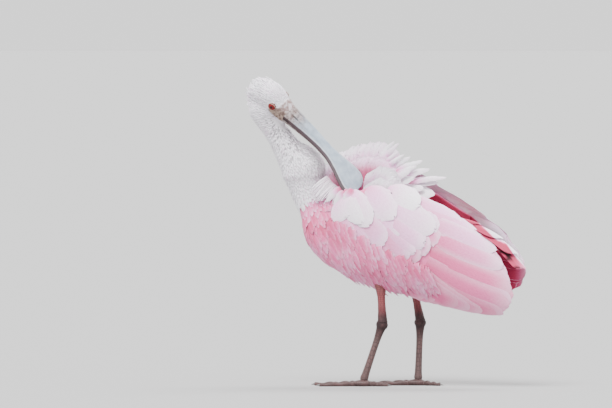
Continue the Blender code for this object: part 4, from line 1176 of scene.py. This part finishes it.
def clearOf(place, gap):
    # the places that keep their gap from those kept before them, found through cells wider than any gap
    cells = np.floor(place / coatValues["cell"]).astype(int).tolist()
    spots, gaps = place.tolist(), gap.tolist()
    grid, kept = {}, []
    around = [(dx, dy, dz) for dx in (-1, 0, 1) for dy in (-1, 0, 1) for dz in (-1, 0, 1)]
    for k, (x, y, z) in enumerate(cells):
        others = (spots[other] for dx, dy, dz in around for other in grid.get((x + dx, y + dy, z + dz), ()))
        if all(math.dist(spots[k], other) >= gaps[k] for other in others):
            kept.append(k)
            grid.setdefault((x, y, z), []).append(k)
    return np.array(kept)


def nearestOnSkin(tree, places):
    found = [tree.find_nearest(Vector(p)) for p in places.tolist()]
    return np.array([hit[0][:] for hit in found]), np.array([hit[1][:] for hit in found])


def coatPiece(name, rows, cols, chosen, roots, finish, slot):
    place, normal, lieWay, spot = (values[chosen] for values in roots[:4])
    n = len(place)
    batch = FeatherBatch(rows, cols)
    length = zoneMix(place, "length") * rng.uniform(0.8, 1.2, n)
    width = zoneMix(place, "width") * rng.uniform(0.85, 1.15, n)
    lift = zoneMix(place, "lift") * rng.uniform(0.6, 1.5, n)
    nape = headNear(place) * ease(-headPlace(place)[0], 0.040, 0.060)
    lift = lift + nape * (coatValues["nape"] + coatValues["spikes"] * rng.uniform(0, 1, n) ** 3)
    look = coatValues["look"]
    way = unit(lieWay + np.cross(normal, lieWay) * rng.normal(0, look["stray"], n)[:, None])
    midPlace, midNormal = nearestOnSkin(skinTree, place + way * (length / 2)[:, None])
    tipPlace, tipNormal = nearestOnSkin(skinTree, place + way * length[:, None])
    root, tip = place - normal * look["sunk"], tipPlace + tipNormal * lift[:, None]
    middle = midPlace + midNormal * (0.8 * lift)[:, None]
    across = unit(np.cross(tip - root, normal + tipNormal))[:, None, None]
    root, middle, tip, normal, tipNormal = (a[:, None, None] for a in (root, middle, tip, normal, tipNormal))
    s, v = batch.s[None, :, None, None], batch.v[None, None, :, None]
    curve = root * (1 - s) * (1 - 2 * s) + middle * 4 * s * (1 - s) + tip * s * (2 * s - 1)
    up = unit(normal * (1 - s) + tipNormal * s)
    wide = vaneWidth(s, look)
    fray = look["fray"] * rng.normal(0, 1, (n, 1, cols, 1)) * s**5 * (tip - root)
    broad = width[:, None, None, None]
    grid = curve + fray + across * v * wide * broad / 2 - up * (look["dome"] * broad * v**2 * wide)
    thick = up * look["thick"] * (1 - v**2)
    blush = blushOf(place)[:, None, None] + rng.normal(0, 0.012, (n, 1, 1))
    blush = blush * (1 - 0.22 * batch.s[None, :, None] ** 3)
    batch.add(grid + thick, grid - thick, width, length, blush, duskOf(place), spot)
    batch.piece(name, finish, (), ownCells=False)


def duskOf(points):
    # painted grey shade behind and below the eye, dark flecks where the throat's feathers are sparse, and
    # painted shade low on the belly
    ahead, right, up = headPlace(points)
    cheek = np.exp(-((ahead + 0.038) / 0.014) ** 2 - ((up - 0.006) / 0.010) ** 2) * ease(right, 0.004, 0.014)
    share, _ = neckNear(points)
    rear = unit(points - neckFine[(share * (len(neckFine) - 1)).astype(int), :3])
    throat = ease(share, 0.30, 0.38) * ease(share, 0.76, 0.60) * ease(rear[:, 0] - rear[:, 1], 0.15, 0.75)
    fleck = (rng.uniform(0, 1, len(points)) < coatValues["flecks"]) * throat
    flecksAndPaintedShade = coatValues["cheekPaintedShade"] * cheek + coatValues["fleckDusk"] * fleck + paintedBellyShade(points)
    return np.clip(flecksAndPaintedShade, 0, 1)[:, None, None]


def usableRoots(place, bareNow):
    # none under the folded wings, on bare skin, on the lids or on the bill's base
    ahead, left, height = bodyPlace(place)
    top, hem = (lookUp(wingValues[line][::-1], ahead)[0] for line in ("top", "hem"))
    covered = (ahead < 0.070) & (height < top - 0.006) & (height > hem + 0.030) & (np.abs(left) > 0.02)
    fromEyes = [np.linalg.norm(place - shift - eyePlace(side)[0], axis=1) for side in (1, -1)]
    lids = np.minimum(*fromEyes) < coatValues["lidRoom"]
    headAhead, headAside, headHigh = headPlace(place)
    billRoot = (np.abs(headAhead - 0.004) < 0.0090) & (np.hypot(headAside, headHigh) < bodyValues["billRoom"])
    return ~covered & (bareNow < 0.5) & ~lids & ~billRoot


skinTree = BVHTree.FromPolygons([tuple(p) for p in skinPoints], skinQuads.tolist())
roots = scatterRoots()
usable = usableRoots(roots[0], roots[4])
isHead = headNear(roots[0]) > 0.5
isBody = (zoneMix(roots[0], "spacing") > coatValues["bodyFrom"]) & ~isHead
isNeck = ~isHead & ~isBody
for side in ("left", "right"):
    flankBatch = FeatherBatch(10, 7)
    layFlank(flankBatch, partial(flank, side))
    flankBatch.piece("flankFeathers" + side.capitalize(), coatFinish, ())
for name, size, here, finish, slot in (("headDown", (4, 3), isHead, downFinish, "white_down"),
                                       ("neckDown", (4, 3), isNeck, downFinish, "white_down"),
                                       ("bodyFeathers", (5, 5), isBody, coatFinish, "rose")):
    coatPiece(name, *size, np.flatnonzero(usable & here), roots, finish, slot)
print("stage: coat")


# Bill: a dome on a flat above, a shallower dome below, widening to the spoon
billValues = {
    "stations": ((0.00, 0.0172, 0.0150), (0.10, 0.0160, 0.0122), (0.25, 0.0146, 0.0086),
                 (0.42, 0.0132, 0.0058), (0.57, 0.0142, 0.0044), (0.70, 0.0192, 0.0038),
                 (0.82, 0.0250, 0.0036), (0.91, 0.0268, 0.0034), (0.97, 0.0218, 0.0029),
                 (1.00, 0.0120, 0.0022)),
    "gap": 0.0006, "lowerDepth": 0.72,
    # how much depth and width count in the rim that is seen from above to the right, and the far edge's share
    "rimSeen": (0.669, 0.743), "farRim": 0.0036,
    # how far in from the rim the painted highlight line lies, and where the band of painted edge shade ends
    "highlightPlace": 0.0066, "edgeShadePlace": (0.0060, 0.0050),
    "horn": ((0.235, 0.285, 0.35), (0.33, 0.385, 0.45)), "jaw": ((0.10, 0.055, 0.05), (0.20, 0.12, 0.12)),
    # the mottled base, then the pale colour of the painted highlight line
    "mottle": ((0.12, 0.075, 0.068), (0.36, 0.31, 0.30)), "line": (0.50, 0.50, 0.52),
    # the band of painted edge shade, and the painted shadow in the nostril, groove and gape slits
    "edgeShade": (0.050, 0.026, 0.030), "slitShade": (0.006, 0.004, 0.004),
}


def billLine(share):
    angle = headValues["bend"] * share**1.4
    step = headValues["length"] * share
    return (billBase + (0.0035 + step * np.cos(angle * 0.6))[..., None] * headForward
            - (step * np.sin(angle * 0.6))[..., None] * levelUp)


def billRings(over):
    # rings of dome height sin to the 0.9 over a flat, with nostril grooves pressed in beside the ridge
    share, half, tall = smoothThrough(billValues["stations"], 110).T
    share = np.clip(share, 0, 1)
    depth = tall if over > 0 else billValues["lowerDepth"] * tall
    line = billLine(share)
    turn = np.linspace(0, math.pi, 41)
    x = np.cos(turn)[None] * half[:, None]
    z = np.sin(turn)[None] ** 0.9 * depth[:, None]
    if over > 0:
        groove = 0.42 + 0.10 * share[:, None]
        reach = ease(share[:, None], 0.02, 0.06) * ease(share[:, None], 0.62, 0.20)
        z = z - 0.0012 * reach * np.exp(-((np.abs(np.cos(turn))[None] - groove) / 0.07) ** 2)
    flat = np.linspace(-1, 1, 13)[1:-1][None] * half[:, None]
    x = np.concatenate([x, flat], axis=1)
    z = np.concatenate([z, 0 * flat], axis=1) + billValues["gap"] / 2
    rings = line[:, None] + x[..., None] * headRight + over * z[..., None] * headDorsal
    rooted = rings[:1] * 0.92 + rings[:1].mean(axis=1, keepdims=True) * 0.08 - 0.010 * headForward
    # rim is how far in from the cutting edge; the painted slit shadow is 1 in the nostril and gape slits and
    # partly in the groove beside the ridge
    deep, broad = billValues["rimSeen"]
    rim = deep * np.abs(z) + broad * (half[:, None] - np.abs(x)) + billValues["farRim"] * (x < 0)
    aside = np.abs(x) / half[:, None]
    share = share[:, None]
    nostril = np.exp(-((aside - 0.40) / 0.055) ** 2) * ease(share, 0.052, 0.062) * ease(share, 0.128, 0.112)
    groove = 0.35 * np.exp(-((aside - 0.40) / 0.04) ** 2) * ease(share, 0.0, 0.02) * ease(share, 0.26, 0.14)
    gape = np.exp(-((rim - 0.0024) / 0.0009) ** 2) * ease(share, 0.075, 0.055)
    slitShade = np.clip(nostril + groove + gape, 0, 1) if over > 0 else 0 * rim
    values = {"rim": rim, "slitShade": slitShade}
    return np.concatenate([rooted, rings]), {key: np.concatenate([v[:1], v]) for key, v in values.items()}


def hornFinish(name, lower):
    # blue-grey horn, brown and mottled at its base; the upper bill has a painted highlight line along the
    # cutting edge, a band of painted shade at the edge, and painted shadow in the nostril, groove and gape
    # slits
    f = Finish(name, Roughness=0.42, Specular_IOR_Level=0.30)
    turn, share = f.chart("lay")
    cloud = f.noise(f.place(), 90.0, 4.0)
    fine = f.noise(f.place(), 700.0)
    tints, spread = ("jaw", (0.35, 0.70)) if lower else ("horn", (0.30, 0.75))
    horn = f.mix(f.step(cloud, *spread), *billValues[tints])
    mottled = f.mix(f.step(f.noise(f.place(), 170.0, 5.0, 0.7), 0.38, 0.62), *billValues["mottle"])
    base = f.mix(f.step(share + (cloud - 0.5) * 0.25, 0.26, 0.04), horn, mottled)
    # painted highlight: a pale line just in from the cutting edge; painted shade: a dark band along the edge
    rim = f.own("rim") + (cloud - 0.5) * 0.0012
    offHighlight = f.maths("ABSOLUTE", rim - billValues["highlightPlace"])
    onHighlight = f.step(offHighlight, 0.0012, 0.0004) * f.step(share, 0.12, 0.25) * 0.6
    onEdgeShade = f.step(rim, *billValues["edgeShadePlace"]) * f.step(share, 0.985, 0.955) * 0.95
    banded = f.mix(onEdgeShade, f.mix(onHighlight, base, billValues["line"]), billValues["edgeShade"])
    # painted shadow in the nostril, groove and gape slits
    colour = f.mix(f.own("slitShade"), base if lower else banded, billValues["slitShade"])
    wave = {"Vector": f.join(turn, share), "Scale": 22.0, "Distortion": 5.0, "Detail": 2.0}
    wrinkle = f.node("ShaderNodeTexWave", {"wave_type": "BANDS", "bands_direction": "Y"}, wave, out="Fac")
    height = wrinkle * f.step(share, 0.30, 0.05) * 0.6 + fine * 0.3
    return f.use(Base_Color=colour, Roughness=0.42 + fine * 0.2, Normal=f.bump(height, 0.0005, 0.5))


for name, over, node, slot in (("billUpper", 1, "bill_upper", "bill_horn"),
                               ("billLower", -1, "bill_lower", "jaw_horn")):
    rings, marks = billRings(over)
    tubePiece(name, rings, hornFinish(name, over < 0), (node,), marks)
print("stage: bill")


# Eyes and lids
def eyeFinish():
    # red iris with fine spokes about a black pupil, dark rim, clear wet coat
    f = Finish("eye", Roughness=0.35, Specular_IOR_Level=0.25, Coat_Weight=0.20, Coat_Roughness=0.03)
    turn, tilt = f.chart("lay")
    iris = f.mix(f.noise(f.join(turn * 60.0, tilt * 8.0), 1.0), *eyeValues["iris"])
    ringed = f.mix(f.step(tilt, 0.30, 0.36), iris, eyeValues["ring"])
    return f.use(Base_Color=f.mix(f.step(tilt, 0.088, 0.076), ringed, eyeValues["pupil"]))


def ballRings(centre, look, radius, rows, around):
    # latitude rings about the look axis, from its front pole to its back one
    aside = unit(np.cross(look, headForward))
    third = np.cross(look, aside)
    tilt = np.linspace(0.02, math.pi - 0.02, rows)[:, None, None]
    turn = circle(around)[None, :, None]
    spoke = np.cos(turn) * aside + np.sin(turn) * third
    return centre + radius * (np.cos(tilt) * look + np.sin(tilt) * spoke)


def lidRings(centre, look):
    # a soft ring round the eye's opening, wider along the head than across, as an almond
    ahead = unit(headForward - look * dot(headForward, look))
    third = np.cross(look, ahead)
    turn, lean = circle(72)[:, None, None], circle(16)[None, :, None]
    wide = lidValues["wide"] * np.cos(turn) * ahead + lidValues["tall"] * np.sin(turn) * third \
        * (1 - 0.10 * np.cos(turn) ** 2)
    spoke = unit(wide)
    reach = np.linalg.norm(wide, axis=-1, keepdims=True)
    depth = np.sqrt(np.maximum(eyeValues["radius"] ** 2 - reach**2, 0))
    return centre + look * depth + wide + lidValues["thick"] * (np.cos(lean) * spoke + np.sin(lean) * look)


def loopPiece(name, rings, finish):
    # a ring-shaped tube closed on itself
    count, around = rings.shape[:2]
    quads, spots = ringFaces(count, around, count)
    maps = {"OFBake": (inBakeMap(spots / (around, count)), ())}
    makePiece(name, rings.reshape(-1, 3), quads, (), maps, {}, finish, ())


eyeMaterial = eyeFinish()
lidMaterial = cloudyFinish("eyelid", 0.55, 800.0, 0.0004, 0.6, lidValues["tints"])
for side, name in ((1, "right"), (-1, "left")):
    centre, look = eyePlace(side)
    centre = centre + shift
    tubePiece("eye" + name.capitalize(), ballRings(centre, look, eyeValues["radius"], 40, 48), eyeMaterial,
              ("eye_" + name,), {})
    loopPiece("lid" + name.capitalize(), lidRings(centre, look), lidMaterial)
print("stage: eyes")


# Legs and feet
legValues = {
    "legs": {"left": (0.030, (-0.0110, 0.190), (-0.0065, 0.1030), (-0.0370, 0.0105)),
             "right": (-0.030, (0.0400, 0.185), (0.0550, 0.1050), (0.0515, 0.0105))},
    "tibia": ((0.0, 0.0150), (0.167, 0.0135), (0.333, 0.0095), (0.5, 0.0066), (0.667, 0.0062),
              (0.833, 0.0070), (1.0, 0.0082)),
    "tarsus": ((-0.04, 0.0060), (0.0, 0.0092), (0.05, 0.0096), (0.12, 0.0072), (0.3, 0.0058), (0.6, 0.0056),
               (0.88, 0.0062), (0.97, 0.0070), (1.03, 0.0052)),
    "toes": {"inner": (27, 0.062), "middle": (0, 0.078), "outer": (-27, 0.066), "hind": (172, 0.034)},
    "toeThick": 0.0092, "solePress": 0.86,
    # the foot's palm: reach ahead, half width, half height
    "palm": ((-0.011, 0.004, 0.0030), (-0.006, 0.0085, 0.0052), (0.002, 0.0105, 0.0062),
             (0.010, 0.012, 0.0050), (0.016, 0.0095, 0.0034)),
    # skin from the thigh through the hock to the toes, its paler clouds, and the seams between plates
    "tones": ((0.0, (0.22, 0.050, 0.055)), (0.30, (0.13, 0.030, 0.034)), (0.5, (0.026, 0.011, 0.012)),
              (0.75, (0.060, 0.030, 0.030)), (1.0, (0.095, 0.058, 0.056))),
    "cloud": (0.20, 0.09, 0.09), "seam": (0.022, 0.012, 0.012),
    "claw": ((0.02, 0.015, 0.014), (0.09, 0.07, 0.06)),
}


def legFinish():
    # dark maroon scales over pinker skin; plates are cells of the map round the leg
    f = Finish("leg skin", Roughness=0.5, Specular_IOR_Level=0.3)
    lay = f.node("ShaderNodeUVMap", {"uv_map": "scale"})
    cells = f.node("ShaderNodeTexVoronoi", {"feature": "DISTANCE_TO_EDGE", "voronoi_dimensions": "2D"},
                   {"Vector": lay, "Scale": 1.0, "Randomness": 0.55}, out="Distance")
    seam = f.step(cells, 0.10, 0.02)
    cloud = f.noise(f.place(), 60.0, 4.0)
    dust = f.noise(f.place(), 500.0)
    skinTone = f.ramp(f.own("tone"), legValues["tones"])
    plate = f.mix(f.step(cloud, 0.45, 0.75) * 0.30, skinTone, legValues["cloud"])
    seamed = f.mix(seam * 0.75, plate, legValues["seam"])
    height = 1.0 - seam + dust * 0.2
    return f.use(Base_Color=seamed, Roughness=0.42 + dust * 0.25, Normal=f.bump(height, 0.0004, 0.8))


legMaterial = legFinish()


def scaledTube(name, rings, tone, platesAlong, platesRound, node):
    tones = {"tone": np.broadcast_to(tone[:, None], rings.shape[:2])}
    tubePiece(name, rings, legMaterial, (node,), tones, (platesRound, platesAlong))


def sidePlace(side, x, height):
    return sideViewPoint(np.array(x), legValues["legs"][side][0], np.array(height))


def makeLeg(side):
    _, hip, hock, foot = legValues["legs"][side]
    hip, hock, ankle = (sidePlace(side, *p) for p in (hip, hock, foot))
    share = np.linspace(0, 1, 50)
    radius = smoothThrough(legValues["tibia"], 50)[:, 1] * (1 + 0.015 * np.sin(share * 46))
    path = blend(hip, hock, share[:, None])
    scaledTube(f"tibia{side.capitalize()}", ringSet(path, radius, radius, forward, 32),
               0.5 * ease(share, 0.55, 0.95), 26, 9, f"tibia_{side}")
    share, radius = smoothThrough(legValues["tarsus"], 90).T
    path = blend(hock, ankle, share[:, None])
    swell = 1 + 0.05 * np.cos(2 * circle(36))[None] * ease(share, 0.1, 0.3)[:, None]
    tone = 0.5 + 0.5 * ease(share, 0.08, 0.35)
    radius = radius[:, None] * swell
    scaledTube(f"tarsus{side.capitalize()}", ringSet(path, radius * 0.86, radius, forward, 36), tone, 34, 8,
               f"tarsus_{side}")
    makeFoot(side, ankle)


def pressed(path, wide, tall, around):
    # rings along a path near the floor, flat where they would go under it
    return np.maximum(ringSet(path, wide, tall, upward, around), (-np.inf, -np.inf, 0.0))


def makeFoot(side, ankle):
    thick = legValues["toeThick"]
    palm = np.array([ankle[0], ankle[1], thick / 2])
    reach, wide, tall = along(legValues["palm"], np.linspace(0, 1, 24)).T
    scaledTube(f"palm{side.capitalize()}", pressed(palm + forward * reach[:, None], wide, tall, 32),
               np.full(24, 0.9), 8, 12, f"foot_{side}")
    inward = -1 if side == "left" else 1
    for name, (turn, length) in legValues["toes"].items():
        heading = math.radians(turn * inward)
        way = forward * math.cos(heading) + leftward * math.sin(heading)
        share = np.linspace(0, 1, 48)
        half = thick / 2 * (1 + 0.16 * np.cos(share * 6 * math.pi)) * (1 - 0.45 * share)
        path = palm + way * (0.006 + length * share)[:, None]
        path[:, 2] = half * legValues["solePress"]
        scaledTube(f"toe{name.capitalize()}{side.capitalize()}", pressed(path, half, half, 24),
                   0.85 + 0.1 * share, round(length * 420), 7, f"toe_{name}_{side}")


for side in ("left", "right"):
    makeLeg(side)
clawMaterial = cloudyFinish("claw", 0.35, 900.0, 0.0003, 0.5, legValues["claw"])
for name, node in frame["nodes"].items():
    if name.startswith("claw"):
        node.data.materials.clear()
        node.data.materials.append(clawMaterial)
print("stage: legs")


# Floor, light and camera
stageValues = {
    "centreX": -0.1304, "centreZ": 0.2948, "width": 0.991, "away": 12.0, "elevation": math.radians(1.25),
    # the floor is as bright as the sky round it
    "floorHalf": 450.0, "floorTint": (0.329, 0.329, 0.329, 1.0), "sky": 1.4,
    # lights: name, the side they come from, strength and spread in degrees
    "suns": (("key", (-0.30, -0.62, 1.0), 6.2, 30), ("fill", (0.75, -0.45, 0.60), 1.4, 60),
             ("rim", (0.35, 0.45, 1.0), 3.2, 30)),
}


def makeFloor():
    mesh = bpy.data.meshes.new("floor")
    size = stageValues["floorHalf"]
    corners = [(-size, -size, 0), (size, -size, 0), (size, size, 0), (-size, size, 0)]
    mesh.from_pydata(corners, [], [(0, 1, 2, 3)])
    floor = addObject("floor", mesh)
    f = Finish("pale floor", Roughness=0.7)
    f.use(Base_Color=stageValues["floorTint"])
    mesh.materials.append(f.material)


def makeSun(name, source, strength, spread):
    # a wide soft light from far off, so that the floor is evenly lit out to the horizon
    data = bpy.data.lights.new(name, "SUN")
    data.energy, data.angle = strength, math.radians(spread)
    addObject(name, data).rotation_euler = Vector(source).to_track_quat("Z", "Y").to_euler()


makeFloor()
for sun in stageValues["suns"]:
    makeSun(*sun)
world = bpy.data.worlds.new("studio")
world.use_nodes = True
sky = world.node_tree.nodes["Background"].inputs
sky["Color"].default_value = (1.0, 1.0, 1.0, 1.0)
sky["Strength"].default_value = stageValues["sky"]
bpy.context.scene.world = world

cameraData = bpy.data.cameras.new("camera")
cameraData.sensor_width = 36.0
cameraData.lens = 36.0 * stageValues["away"] / stageValues["width"]
cameraData.clip_end = 1000.0
camera = addObject("camera", cameraData)
target = Vector((stageValues["centreX"] + shift[0], shift[1], stageValues["centreZ"]))
back = Vector((0, -math.cos(stageValues["elevation"]), math.sin(stageValues["elevation"])))
camera.location = target + back * stageValues["away"]
camera.rotation_euler = (-back).to_track_quat("-Z", "Y").to_euler()
bpy.context.scene.camera = camera
